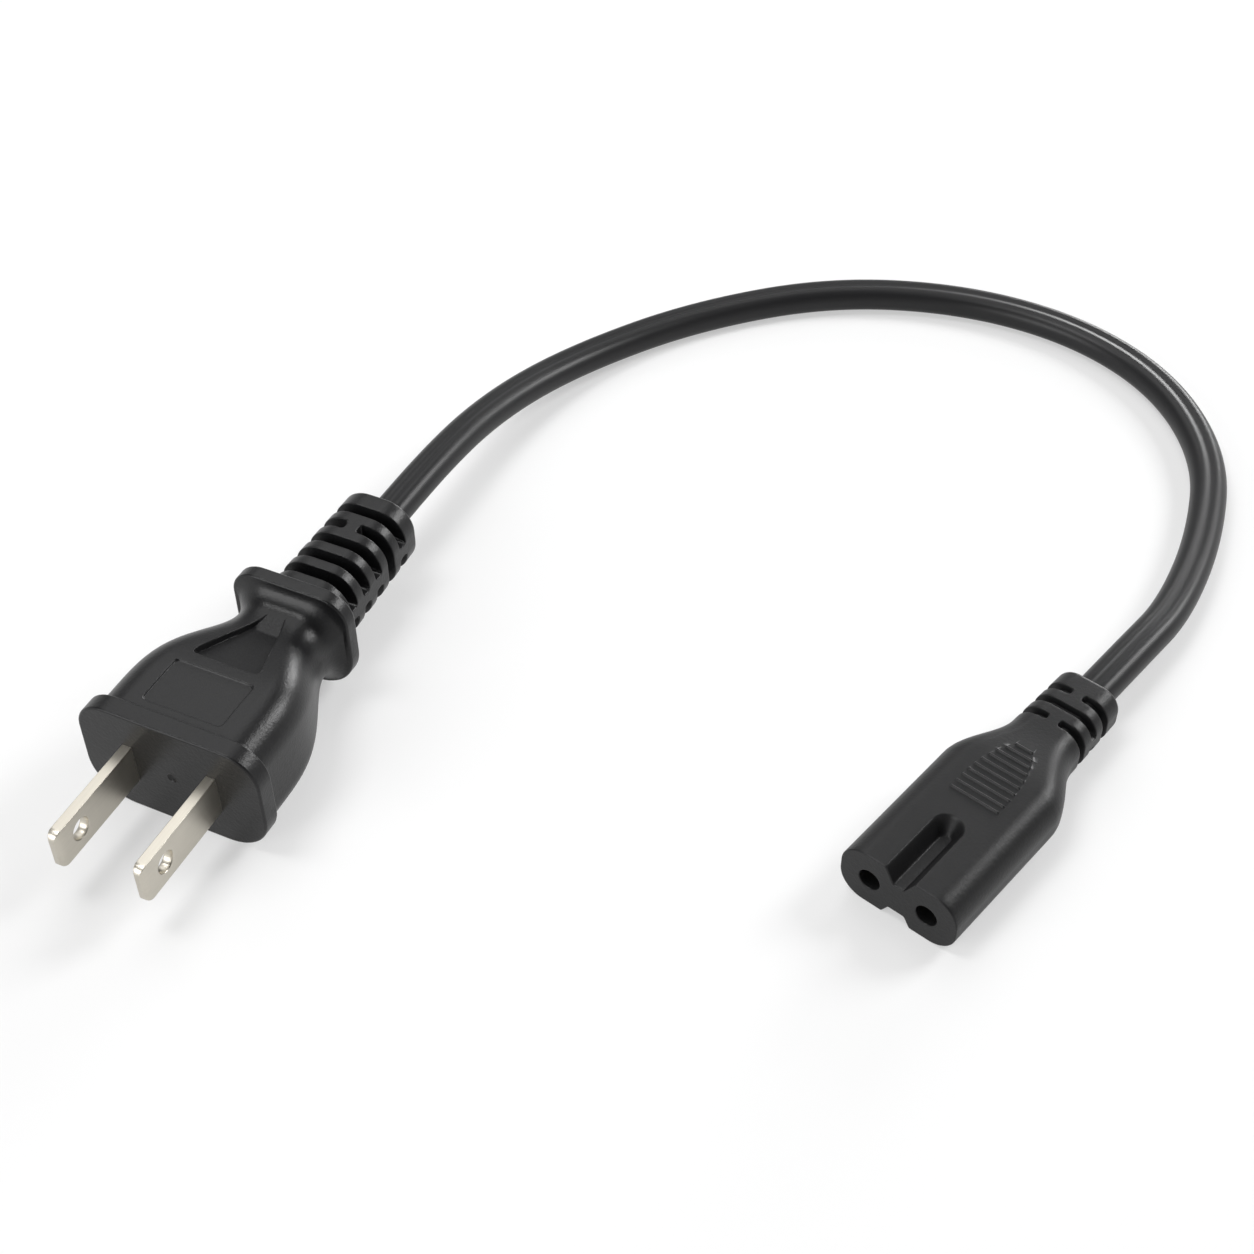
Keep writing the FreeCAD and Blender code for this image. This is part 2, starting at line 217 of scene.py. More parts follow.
def fresh_sheet(name: str) -> tuple[bpy.types.Material, NodeSheet, Flow]:
    """Starts a material.

    Args:
        name: Name of the material.

    Returns:
        The material, its sheet and the piece's own coordinates in metres.
    """
    material = bpy.data.materials.new(name)
    sheet = NodeSheet(material)
    return material, sheet, sheet.node("ShaderNodeTexCoord", None, None, "Object")


def blended(shares: Shares, flows: Sequence[Flow]) -> Flow:
    """Sum of the flows that have a share, each times its share."""
    terms = [flow if share == 1.0 else share * flow for share, flow in zip(shares, flows) if share]
    return sum(terms[1:], terms[0])


@dataclass(frozen=True)
class Layer:
    """One noise on a piece: features in each metre, finer octaves and their strength, and stretch by axis.

    It lies on the piece's own coordinates, or on those along and round the cord where wrapped is set.
    """

    scale: float
    detail: float = 3.0
    roughness: float = 0.55
    stretch: Optional[Triple] = None
    wrapped: bool = False

    def draw(self, sheet: NodeSheet, place: Flow) -> Flow:
        """Draws the noise.

        Args:
            sheet: Sheet to draw on.
            place: The piece's own coordinates.

        Returns:
            The noise, from 0 to 1 about 0.5.
        """
        if self.wrapped:
            place = sheet.node("ShaderNodeTexCoord", None, None, "UV")
        if self.stretch:
            factors = {0: place, 1: self.stretch}
            place = sheet.node("ShaderNodeVectorMath", {"operation": "MULTIPLY"}, factors, "Vector")
        sockets = {"Vector": place, "Scale": self.scale, "Detail": self.detail, "Roughness": self.roughness}
        return sheet.node("ShaderNodeTexNoise", {"noise_dimensions": "3D"}, sockets, "Fac")


@dataclass(frozen=True)
class Finish:
    """A surface of one Principled shader that layers of noise vary, in metres.

    Each layer has a share in the colour, in the gloss and in the height of the relief.
    """

    dark: Colour
    light: Colour
    gloss: float
    gloss_spread: float
    relief_height: float
    relief_strength: float
    layers: tuple[Layer, ...]
    colour_shares: Shares = (1.0,)
    gloss_shares: Shares = (1.0,)
    height_shares: Shares = (1.0,)
    specular: float = 0.5
    metallic: float = 0.0

    def material(self, name: str) -> bpy.types.Material:
        """Draws the finish.

        Args:
            name: Name of the material.

        Returns:
            The material.
        """
        material, sheet, place = fresh_sheet(name)
        drawn = [layer.draw(sheet, place) for layer in self.layers]
        tone = {"Factor_Float": blended(self.colour_shares, drawn),
                "A_Color": (*self.dark, 1.0), "B_Color": (*self.light, 1.0)}
        relief = {"Height": blended(self.height_shares, drawn),
                  "Strength": self.relief_strength, "Distance": self.relief_height}
        sockets = {
            "Base Color": sheet.node("ShaderNodeMix", {"data_type": "RGBA"}, tone, "Result_Color"),
            "Roughness": self.gloss + self.gloss_spread * blended(self.gloss_shares, drawn),
            "Normal": sheet.node("ShaderNodeBump", None, relief, "Normal"),
            "Specular IOR Level": self.specular,
            "Metallic": self.metallic,
        }
        sheet.close(sheet.node("ShaderNodeBsdfPrincipled", None, sockets, "BSDF"))
        return material


@dataclass(frozen=True)
class MouldedVinyl(Finish):
    """Satin black vinyl from a spark-eroded mould: slight clouds, flow along y and fine grain."""

    dark: Colour = (0.0052, 0.0052, 0.0056)
    light: Colour = (0.0095, 0.0095, 0.0101)
    gloss: float = 0.25
    gloss_spread: float = 0.16
    relief_height: float = 0.00012
    relief_strength: float = 0.35
    layers: tuple[Layer, ...] = (
        Layer(120.0, detail=4.0),
        Layer(480.0, stretch=(1.0, 0.25, 1.0)),
        Layer(2300.0, roughness=0.6),
    )
    colour_shares: Shares = (0.7, 0.0, 0.3)
    gloss_shares: Shares = (0.5, 0.3, 0.2)
    height_shares: Shares = (0.0, 0.15, 0.85)
    specular: float = 0.30


@dataclass(frozen=True)
class ExtrudedVinyl(Finish):
    """Black vinyl jacket from a die: faint lines along its length, slight clouds and finer grain."""

    dark: Colour = (0.0075, 0.0075, 0.0081)
    light: Colour = (0.0130, 0.0130, 0.0138)
    gloss: float = 0.33
    gloss_spread: float = 0.10
    relief_height: float = 0.000012
    relief_strength: float = 0.07
    layers: tuple[Layer, ...] = (
        Layer(1.0, detail=4.0, roughness=0.65, stretch=(9.0, 24.0, 1.0), wrapped=True),
        Layer(90.0),
        Layer(2600.0, detail=2.0),
    )
    colour_shares: Shares = (0.6, 0.4, 0.0)
    gloss_shares: Shares = (0.25, 0.45, 0.3)
    height_shares: Shares = (0.6, 0.0, 0.4)
    specular: float = 0.29


@dataclass(frozen=True)
class StampedMetal(Finish):
    """Plated or bare strip metal: fine rolling lines along y, and stains that make its gloss uneven."""

    gloss: float = 0.27
    gloss_spread: float = 0.16
    relief_height: float = 0.000008
    relief_strength: float = 0.35
    layers: tuple[Layer, ...] = (
        Layer(5200.0, roughness=0.7, stretch=(1.0, 0.02, 1.0)),
        Layer(260.0, detail=4.0),
    )
    colour_shares: Shares = (0.5, 0.5)
    gloss_shares: Shares = (0.4, 0.6)
    height_shares: Shares = (1.0, 0.0)
    metallic: float = 1.0


@dataclass(frozen=True)
class PlainResin(Finish):
    """Unpainted resin of the hidden bridges and core insulation, with slight mottling."""

    gloss: float = 0.5
    gloss_spread: float = 0.12
    relief_height: float = 0.00001
    relief_strength: float = 0.25
    layers: tuple[Layer, ...] = (Layer(900.0),)


@dataclass(frozen=True)
class EdgeRound:
    """How the edge of a moulded recess is drawn, in mm.

    The mouth is rounded, the wall leans by the draft, the foot is rounded where it meets the floor, and
    the corners are rounded in plan. The shares place the grid lines that draw each of them.
    """

    mouth: float
    draft: float
    foot: float
    plan: float = 0.6
    mouth_shares: tuple[float, ...] = (1.0, 0.7, 0.38, 0.12, 0.0)
    foot_shares: Triple = (0.0, 0.4, 1.0)
    plan_shares: Pair = (0.4, 1.0)

    def lines(self) -> np.ndarray:
        """Places the grid lines that draw one edge.

        Returns:
            The places, from outside to inside.
        """
        mouth = -self.mouth * np.array(self.mouth_shares)
        foot = self.draft + self.foot * np.array(self.foot_shares)
        plan = foot[-1] + (self.plan - foot[-1]) * np.array(self.plan_shares)
        return np.concatenate([mouth, foot, plan])

    def depth(self, inside: np.ndarray, floor: Union[np.ndarray, float]) -> np.ndarray:
        """Depth of the recess.

        Args:
            inside: Distance inside the outline of the recess, negative outside it.
            floor: Full depth.

        Returns:
            The depth at each place.
        """
        over = np.clip(inside + self.mouth, 0.0, self.mouth)
        rim = self.mouth - np.sqrt(self.mouth ** 2 - over ** 2)
        wall = np.clip(inside / self.draft, 0.0, 1.0) * (floor - self.mouth - self.foot)
        left = np.clip(self.draft + self.foot - inside, 0.0, self.foot)
        foot = np.where(inside > self.draft, np.sqrt(np.maximum(self.foot ** 2 - left ** 2, 0.0)), 0.0)
        return rim + wall + foot


@dataclass(frozen=True)
class Marks:
    """Half widths, in mm, at which the grid lines gather on the top, the sides and the underside."""

    top: float
    side: float
    underside: float


@dataclass(frozen=True)
class Grid:
    """How many grid lines draw an outline."""

    edge: EdgeRound
    inner: int = 9
    outer: int = 5
    corner: int = 14

    def run(self) -> int:
        """Number of points on one straight side."""
        return 2 * self.outer + 2 * len(self.edge.lines()) + self.inner

    def gathered(self, start: float, end: float, mark: float) -> np.ndarray:
        """Places along a straight side, gathered at one mark on each side of its middle.

        Args:
            start: Start of the side, negative.
            end: End of the side, positive.
            mark: Half width at which the lines gather.

        Returns:
            The places, from start to end.
        """
        lines = self.edge.lines()
        mark = min(mark, min(-start, end) + lines[0] - LEAST_GAP)
        left = -mark + lines
        right = (mark - lines)[::-1]
        return np.concatenate([
            np.linspace(start, left[0], self.outer, endpoint=False),
            left,
            np.linspace(left[-1], right[0], self.inner + 2)[1:-1],
            right,
            np.linspace(right[-1], end, self.outer + 1)[1:],
        ])


@dataclass(frozen=True)
class Section:
    """Rounded rectangle across a moulding's axis at y, in mm."""

    y: float
    width: float
    height: float
    top_corner: float
    bottom_corner: float

    def grown(self, amount: float, y: float) -> "Section":
        """Sets the outline outwards, or inwards.

        Args:
            amount: Distance outwards, negative for inwards.
            y: Place of the new section.

        Returns:
            The new section.
        """
        top = max(self.top_corner + amount, LEAST_CORNER)
        bottom = max(self.bottom_corner + amount, LEAST_CORNER)
        return Section(y, self.width + 2 * amount, self.height + 2 * amount, top, bottom)

    def outline(self, marks: Marks, grid: Grid) -> np.ndarray:
        """Points of the outline, clockwise from the left end of the top.

        Args:
            marks: Where the grid lines gather.
            grid: Number of lines.

        Returns:
            An array of x and z.
        """
        half_w, half_h = self.width / 2, self.height / 2
        top, low = self.top_corner, self.bottom_corner
        across = grid.gathered(top - half_w, half_w - top, marks.top)
        under = grid.gathered(low - half_w, half_w - low, marks.underside)
        down = grid.gathered(top - half_h, half_h - low, marks.side)
        runs = [
            np.column_stack([across, np.full_like(across, half_h)]),
            np.column_stack([np.full_like(down, half_w), -down]),
            np.column_stack([-under, np.full_like(under, -half_h)]),
            np.column_stack([np.full_like(down, -half_w), -down[::-1]]),
        ]
        corners = [(1, 1, top, 90.0), (1, -1, low, 0.0), (-1, -1, low, -90.0), (-1, 1, top, -180.0)]
        parts = []
        for run, (side, level, radius, start) in zip(runs, corners):
            turn = np.radians(np.linspace(start, start - 90.0, grid.corner + 1)[1:-1])
            middle = np.array([side * (half_w - radius), level * (half_h - radius)])
            parts += [run, middle + radius * np.column_stack([np.cos(turn), np.sin(turn)])]
        return np.concatenate(parts)


def eased(share: float) -> float:
    """Share of a change that starts and ends level."""
    return (1 - math.cos(math.pi * min(max(share, 0.0), 1.0))) / 2


def quarter_round(radius: float, steps: int) -> list[Pair]:
    """Distances from the full outline and from the end plane, round a quarter of a circle."""
    turns = [math.pi / 2 * step / steps for step in range(steps + 1)]
    return [(radius * (1 - math.sin(turn)), radius * (1 - math.cos(turn))) for turn in turns]


def rounded_step(section: Section, y: float, radius: float, direction: int, convex: bool,
                 steps: int = 6) -> list[Section]:
    """Sections that round an edge where a moulding steps out or in.

    Args:
        section: Full outline beside the edge.
        y: Plane of the step's face.
        radius: Radius of the edge.
        direction: 1 where the full outline lies beyond the plane, -1 where it lies before it.
        convex: True for an outer edge, False for a fillet at a root.
        steps: Number of steps round the edge.

    Returns:
        The sections in the order of y.
    """
    made = [section.grown(-away if convex else away, y + direction * ahead)
            for away, ahead in quarter_round(radius, steps)]
    return made if direction > 0 else made[::-1]


def with_edges(stations: np.ndarray, edges: Iterable[tuple[float, int]], edge_round: EdgeRound) -> np.ndarray:
    """Adds the lines that draw recess edges across the axis.

    Args:
        stations: Evenly spread places along the axis.
        edges: Place of each edge, and 1 where the recess lies beyond it or -1 where it lies before it.
        edge_round: How the edges are drawn.

    Returns:
        All places, sorted.
    """
    gathered = [place + direction * edge_round.lines() for place, direction in edges]
    merged = np.sort(np.concatenate([stations, *gathered]))
    return merged[np.concatenate([[True], np.diff(merged) > LEAST_STEP])]


def rounded_inside(across: np.ndarray, along: float, radius: float) -> np.ndarray:
    """Distance inside a recess whose corners are rounded in plan.

    Args:
        across: Distance inside its long edges.
        along: Distance inside its cross edges.
        radius: Radius of the corners.

    Returns:
        The distance inside the rounded outline, negative outside it.
    """
    off_x = np.maximum(radius - across, 0.0)
    off_y = max(radius - along, 0.0)
    at_corner = (off_x > 0) & (off_y > 0)
    return np.where(at_corner, radius - np.hypot(off_x, off_y), np.minimum(across, along))


def inset(outline: np.ndarray, amount: float) -> np.ndarray:
    """Moves a clockwise outline inwards along its own normals.

    Args:
        outline: Array of x and z.
        amount: Distance in mm.

    Returns:
        The moved outline.
    """
    along = np.roll(outline, -1, axis=0) - np.roll(outline, 1, axis=0)
    along /= np.maximum(np.linalg.norm(along, axis=1, keepdims=True), LEAST_LENGTH)
    return outline + amount * np.column_stack([along[:, 1], -along[:, 0]])


def at_station(outline: np.ndarray, y: float) -> np.ndarray:
    """Puts an outline of x and z at a distance along the axis."""
    return np.column_stack([outline[:, 0], np.full(len(outline), y), outline[:, 1]])


def circle(radius: float, y: float, x: float = 0.0, count: int = 48) -> np.ndarray:
    """Points of a circle across the axis, with its middle at x and y."""
    turn = np.linspace(0, 2 * math.pi, count, endpoint=False)
    return np.column_stack([x + radius * np.cos(turn), np.full(count, y), radius * np.sin(turn)])


def linked(name: str, data: bpy.types.ID) -> bpy.types.Object:
    """Puts data into the scene as an object.

    Args:
        name: Name of the object.
        data: Its mesh, curve, lamp or camera.

    Returns:
        The object.
    """
    made = bpy.data.objects.new(name, data)
    bpy.context.scene.collection.objects.link(made)
    return made


class Skin:
    """Closed mesh made of rings of points, joined by quads, and flat ends that may have holes."""

    def __init__(self, place: Matrix) -> None:
        """Starts an empty mesh.

        Args:
            place: Turns local millimetres into metres in the frame.
        """
        self.mesh = bmesh.new()
        self.place = place
        self.rims: list[bmesh.types.BMEdge] = []

    def ring(self, points: Iterable[Sequence[float]]) -> Loop:
        """Adds a ring of vertices."""
        return [self.mesh.verts.new(self.place @ Vector(point)) for point in points]

    def bridge(self, near: Loop, far: Loop) -> None:
        """Joins two loops of equal length by quads.

        Args:
            near: First loop.
            far: Second loop.
        """
        for index, vertex in enumerate(near):
            following = (index + 1) % len(near)
            self.mesh.faces.new((vertex, near[following], far[following], far[index]))

    def tube(self, rings: Sequence[np.ndarray]) -> tuple[Loop, Loop]:
        """Joins rings by quads.

        Args:
            rings: Rings with equal numbers of points.

        Returns:
            The first and the last ring's vertices.
        """
        loops = [self.ring(points) for points in rings]
        for near, far in zip(loops, loops[1:]):
            self.bridge(near, far)
        return loops[0], loops[-1]

    def fill(self, *loops: Loop) -> None:
        """Fills the flat face between an outer loop and the holes in it.

        Args:
            loops: The outer loop, then the loops of the holes.
        """
        edges = []
        for loop in loops:
            for index, vertex in enumerate(loop):
                pair = (vertex, loop[(index + 1) % len(loop)])
                edges.append(self.mesh.edges.get(pair) or self.mesh.edges.new(pair))
        bmesh.ops.triangle_fill(self.mesh, use_beauty=True, use_dissolve=False, edges=edges)
        self.rims += edges

    def cap(self, *loops: Loop) -> None:
        """Closes each loop with one face."""
        for loop in loops:
            self.mesh.faces.new(loop)

    def piece(self, name: str, material: bpy.types.Material) -> bpy.types.Object:
        """Finishes the mesh as a smooth-shaded object that rides on the part.

        Args:
            name: Name of the piece.
            material: Its material.

        Returns:
            The object.
        """
        bmesh.ops.recalc_face_normals(self.mesh, faces=self.mesh.faces)
        for face in self.mesh.faces:
            face.smooth = True
        for edge in self.mesh.edges:
            edge.smooth = edge.calc_face_angle(math.pi) < SHARP_ANGLE
        for edge in self.rims:
            edge.smooth = False
        data = bpy.data.meshes.new(name)
        self.mesh.to_mesh(data)
        self.mesh.free()
        data.materials.append(material)
        made = linked(name, data)
        made.modifiers.new("even_normals", "WEIGHTED_NORMAL").keep_sharp = True
        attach(made, ROOT)
        return made


@dataclass(frozen=True)
class StrainRelief:
    """Slots of a strain relief: each runs round the sleeve on the cord and is split by two bridges."""

    kinds: tuple[SlotKind, ...]
    first: float
    last: float
    width: float
    bridge: float
    edge: EdgeRound

    def slots(self) -> list[tuple[float, float, SlotKind]]:
        """Spreads the slots evenly.

        Returns:
            Start, end and kind of each slot.
        """
        pitch = (self.last - self.first) / len(self.kinds)
        starts = [self.first + index * pitch + (pitch - self.width) / 2 for index in range(len(self.kinds))]
        return [(start, start + self.width, kind) for start, kind in zip(starts, self.kinds)]

    def edges(self) -> list[tuple[float, int]]:
        """Edges of the slots across the axis, with the side on which the slot lies."""
        return [edge for start, end, _ in self.slots() for edge in ((start, 1), (end, -1))]

    def carve(self, outline: np.ndarray, y: float, sleeve: np.ndarray) -> np.ndarray:
        """Sinks an outline towards the sleeve where it lies in a slot.

        Args:
            outline: Outer outline at y.
            y: Distance along the axis.
            sleeve: Outline of the sleeve, point for point.

        Returns:
            The carved outline.
        """
        room = np.linalg.norm(sleeve - outline, axis=1)
        sunk = np.zeros(len(outline))
        for start, end, kind in self.slots():
            if start - self.edge.mouth < y < end + self.edge.mouth:
                off_bridge = np.abs(outline[:, 1 if kind is SlotKind.SIDE else 0]) - self.bridge / 2
                inside = rounded_inside(off_bridge, min(y - start, end - y), self.edge.plan)
                sunk = self.edge.depth(inside, room)
        return outline + (sleeve - outline) * (sunk / room)[:, None]


@dataclass
class CordRun:
    """The flat-oval cord, swept along a smooth line through given points, in mm."""

    width: float = 5.4
    thickness: float = 4.3
    side_flat: float = 0.2
    valley_depth: float = 0.22
    valley_width: float = 0.7
    length: float = 0.2395
    buried: float = 1.2
    line_steps: int = 16
    points: tuple[Triple, ...] = (
        (0.0, 35.0, 8.75),
        (0.0, 50.5, 8.75),
        (0.7, 70.0, 6.0),
        (5.5, 88.8, 3.0),
        (17.5, 107.8, 2.25),
        (35.2, 123.5, 2.25),
        (56.0, 131.0, 2.25),
        (76.0, 130.7, 2.25),
        (93.0, 122.7, 2.25),
        (104.5, 107.5, 2.25),
        (108.0, 89.0, 2.5),
        (107.9, 71.3, 3.5),
        (104.965, 59.863, 4.4),
        (101.892, 48.782, 4.4),
    )
    finish: ExtrudedVinyl = ExtrudedVinyl()

    def outline(self, gap: float = 0.0, count: int = 12) -> np.ndarray:
        """Outline of the cord, with a shallow valley between its two cores.

        Args:
            gap: Distance that the outline is set outwards.
            count: Points on each rounded corner.

        Returns:
            An array of x and z, clockwise from the top.
        """
        corner = (self.thickness - self.side_flat) / 2
        half_flat = self.width / 2 - corner
        across = np.linspace(-half_flat, half_flat, count)
        top = np.column_stack([across, np.full(count, self.thickness / 2 + gap)])
        turn = np.radians(np.linspace(90, 0, count + 1)[1:])
        middle = np.array([half_flat, self.thickness / 2 - corner])
        arc = middle + (corner + gap) * np.column_stack([np.cos(turn), np.sin(turn)])
        right = np.concatenate([top[count // 2:], arc])
        half = np.concatenate([right, right[::-1] * (1, -1)])
        ring = np.concatenate([half, half[::-1] * (-1, 1)])
        valley = self.valley_depth * np.exp(-(ring[:, 0] / self.valley_width) ** 2)
        ring[:, 1] -= np.sign(ring[:, 1]) * valley
        return ring

    def line(self) -> np.ndarray:
        """Draws the smooth spline that the route's points control.

        Returns:
            Points read from the spline, in metres.
        """
        curve = bpy.data.curves.new("cord_route", "CURVE")
        curve.dimensions = "3D"
        curve.resolution_u = self.line_steps
        spline = curve.splines.new("NURBS")
        spline.points.add(len(self.points) - 1)
        for control, place in zip(spline.points, self.points):
            control.co = (*(MM * value for value in place), 1.0)
        spline.order_u = 3
        spline.use_endpoint_u = True
        route = linked("cord_route", curve)
        bpy.context.view_layer.update()
        mesh = bpy.data.meshes.new_from_object(route.evaluated_get(bpy.context.evaluated_depsgraph_get()))
        line = np.array([vertex.co for vertex in mesh.vertices])
        bpy.data.meshes.remove(mesh)
        bpy.data.objects.remove(route)
        bpy.data.curves.remove(curve)
        return line

    def build(self, with_pieces: Sequence[bpy.types.Object]) -> bpy.types.Object:
        """Args:
            with_pieces: The pieces on the cord's far end. Not used.

        Returns:
            The cord.
        """
        line = self.line()
        tangent = np.gradient(line, axis=0)
        tangent /= np.linalg.norm(tangent, axis=1, keepdims=True)
        ends = tangent[[0, -1]] * self.buried * MM
        body = np.concatenate([line[:1] - ends[:1], line, line[-1:] + ends[1:]])
        heading = np.concatenate([tangent[:1], tangent, tangent[-1:]])
        side = np.cross(heading, (0.0, 0.0, 1.0))
        side /= np.linalg.norm(side, axis=1, keepdims=True)
        up = np.cross(side, heading)
        ring = self.outline() * MM
        skin = Skin(Matrix.Identity(4))
        rings = [middle + ring[:, :1] * across + ring[:, 1:] * above
                 for middle, across, above in zip(body, side, up)]
        skin.cap(*skin.tube(rings))
        self._unwrap(skin.mesh, len(ring), len(rings))
        cord = skin.piece("cord_jacket", self.finish.material("cord_jacket"))
        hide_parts("cord")
        self.width * MM
        return cord

    @staticmethod
    def _unwrap(mesh: bmesh.types.BMesh, around: int, along: int) -> None:
        """Gives each point its share of the way along and round the cord.

        Args:
            mesh: The swept mesh, its vertices ring by ring.
            around: Points in each ring.
            along: Number of rings.
        """
        layer = mesh.loops.layers.uv.new("along_and_round")
        mesh.verts.index_update()
        for face in mesh.faces:
            for loop in face.loops:
                ring, place = divmod(loop.vert.index, around)
                loop[layer].uv = (ring / along, abs(2.0 * place / around - 1.0))


@dataclass
class Moulding:
    """What both outer mouldings share: slots over a sleeve on the cord, and the cord's entry, in mm."""

    slot_kinds: str
    first_ring: float
    end_ring: float
    slot_width: float
    bridge_width: float
    sleeve_wall: float
    sleeve_corner: float
    slot_edge: EdgeRound
    finish: MouldedVinyl
    cord_gap: float = 0.07
    cord_pocket: float = 0.7
    end_steps: int = 8

    def relief_between(self, start: float, end: float) -> StrainRelief:
        """Spreads the slots over a strain relief.

        Args:
            start: Where the strain relief starts.
            end: Where it ends.

        Returns:
            The strain relief.
        """
        kinds = tuple(SlotKind(word) for word in self.slot_kinds.split())
        return StrainRelief(kinds, start + self.first_ring, end - self.end_ring, self.slot_width,
                            self.bridge_width, self.slot_edge)

    def sleeve(self) -> Section:
        """Works out the sleeve that is left on the cord in the slots.

        Returns:
            Its outline.
        """
        cord = CordRun()
        wall = 2 * self.sleeve_wall
        return Section(0.0, cord.width + wall, cord.thickness + wall, self.sleeve_corner, self.sleeve_corner)

    def close_on_cord(self, skin: Skin, end: Loop, y: float) -> None:
        """Closes the rear end round a pocket that the cord goes into.

        Args:
            skin: Mesh of the moulding.
            end: Loop of its rear end.
            y: Plane of the rear end.
        """
        hole = CordRun().outline(self.cord_gap)
        rim, floor = skin.tube([at_station(hole, y), at_station(hole, y - self.cord_pocket)])
        skin.fill(end, rim)
        skin.cap(floor)


@dataclass
class PlugMoulding(Moulding):
    """Outer moulding of the plug about its own axis, in mm, with the mating face at y 0."""

    flange_width: float = 27.5
    height: float = 17.5
    flange_depth: float = 2.8
    flange_top_corner: float = 5.0
    flange_bottom_corner: float = 6.5
    front_round: float = 0.35
    rear_round: float = 0.3
    root_fillet: float = 0.15
    root_steps: int = 3
    flange_stand: float = 0.45
    shoulder_inset: float = 1.35
    shoulder_length: float = 2.2
    body_length: float = 26.5
    body_corner: float = 4.6
    body_stations: int = 70
    neck_width: float = 14.2
    neck_height: float = 11.0
    waist_skew: float = 1.7
    flare_length: float = 3.0
    flare_power: float = 2.5
    collar_width: float = 18.2
    collar_depth: float = 2.3
    collar_lip: float = 0.8
    collar_top_corner: float = 4.2
    collar_bottom_corner: float = 6.5
    collar_front_round: float = 0.35
    collar_rear_round: float = 0.5
    label_front: float = 4.2
    label_length: float = 8.0
    label_width: float = 12.0
    label_depth: float = 0.3
    arrow_front: float = 14.2
    arrow_widths: Pair = (10.6, 2.6)
    arrow_depth: float = 0.9
    arrow_least_depth: float = 0.3
    arrow_ramp: float = 2.6
    arrow_corner: float = 1.1
    mark_gap: float = 0.4
    gate_radius: float = 0.7
    gate_depth: float = 0.25
    gate_lip: float = 0.06
    gate_floor: float = 0.42
    boot_length: float = 21.9
    boot_front: Pair = (12.3, 11.6)
    boot_rear: Pair = (11.5, 10.9)
    boot_corner: float = 4.4
    boot_round: float = 0.6
    boot_fillet: float = 0.3
    boot_fillet_steps: int = 4
    boot_stations: int = 30
    slot_kinds: str = "side side side top side"
    first_ring: float = 2.5
    end_ring: float = 2.1
    slot_width: float = 1.8
    bridge_width: float = 1.9
    sleeve_wall: float = 0.8
    sleeve_corner: float = 1.6
    panel_edge: EdgeRound = EdgeRound(0.15, 0.05, 0.10)
    slot_edge: EdgeRound = EdgeRound(0.16, 0.06, 0.16)
    finish: MouldedVinyl = MouldedVinyl()

    def __post_init__(self) -> None:
        """Works out the distances behind the mating face, the grid and the slots."""
        self.collar_start = self.flange_depth + self.body_length
        self.boot_start = self.collar_start + self.collar_depth
        self.boot_end = self.boot_start + self.boot_length
        self.waist_start = self.flange_depth + self.shoulder_length
        self.waist_end = self.collar_start - self.flare_length
        self.arrow_length = self.waist_end - self.arrow_front
        self.label_end = self.label_front + self.label_length
        self.body_height = self.height - 2 * self.flange_stand
        self.grid = Grid(self.slot_edge)
        self.relief = self.relief_between(self.boot_start, self.boot_end)

    def place(self) -> Matrix:
        """Turns the plug's own millimetres into metres in the frame.

        Returns:
            The place.
        """
        low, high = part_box("plug_overmould")
        middle = Vector(((low.x + high.x) / 2, low.y, (low.z + high.z) / 2))
        return Matrix.Translation(middle) @ Matrix.Scale(MM, 4)

    def body(self, y: float) -> Section:
        """Section of the waisted body, and of the flare that runs up to the collar.

        Args:
            y: Distance behind the mating face.

        Returns:
            The section.
        """
        wide = self.flange_width - 2 * self.shoulder_inset
        tall = self.body_height
        share = min(max((y - self.waist_start) / (self.waist_end - self.waist_start), 0.0), 1.0)
        drawn = eased(share ** self.waist_skew)
        width = wide - (wide - self.neck_width) * drawn
        height = tall - (tall - self.neck_height) * drawn
        flare = max((y - self.waist_end) / self.flare_length, 0.0) ** self.flare_power
        width += (self.collar_width - 2 * self.collar_lip - self.neck_width) * flare
        height += (tall - 2 * self.collar_lip - self.neck_height) * flare
        return Section(y, width, height, self.body_corner, self.body_corner)

    def boot(self, y: float) -> Section:
        """Section of the tapered strain relief.

        Args:
            y: Distance behind the mating face.

        Returns:
            The section.
        """
        start = self.boot_start - self.collar_depth / 2
        share = (y - start) / (self.boot_end - start)
        width, height = (a + (b - a) * share for a, b in zip(self.boot_front, self.boot_rear))
        return Section(y, width, height, self.boot_corner, self.boot_corner)

    def marks(self, y: float) -> Marks:
        """Gathers the grid lines at the edges of the panels, then at the bridges of the boot.

        Args:
            y: Distance behind the mating face.

        Returns:
            Where the lines gather.
        """
        places = (self.label_end + self.mark_gap, self.arrow_front - self.mark_gap, self.waist_end,
                  self.boot_start)
        widths = np.array([self.label_width, *self.arrow_widths, self.bridge_width])
        return Marks(float(np.interp(y, places, widths / 2)), self.bridge_width / 2, self.bridge_width / 2)

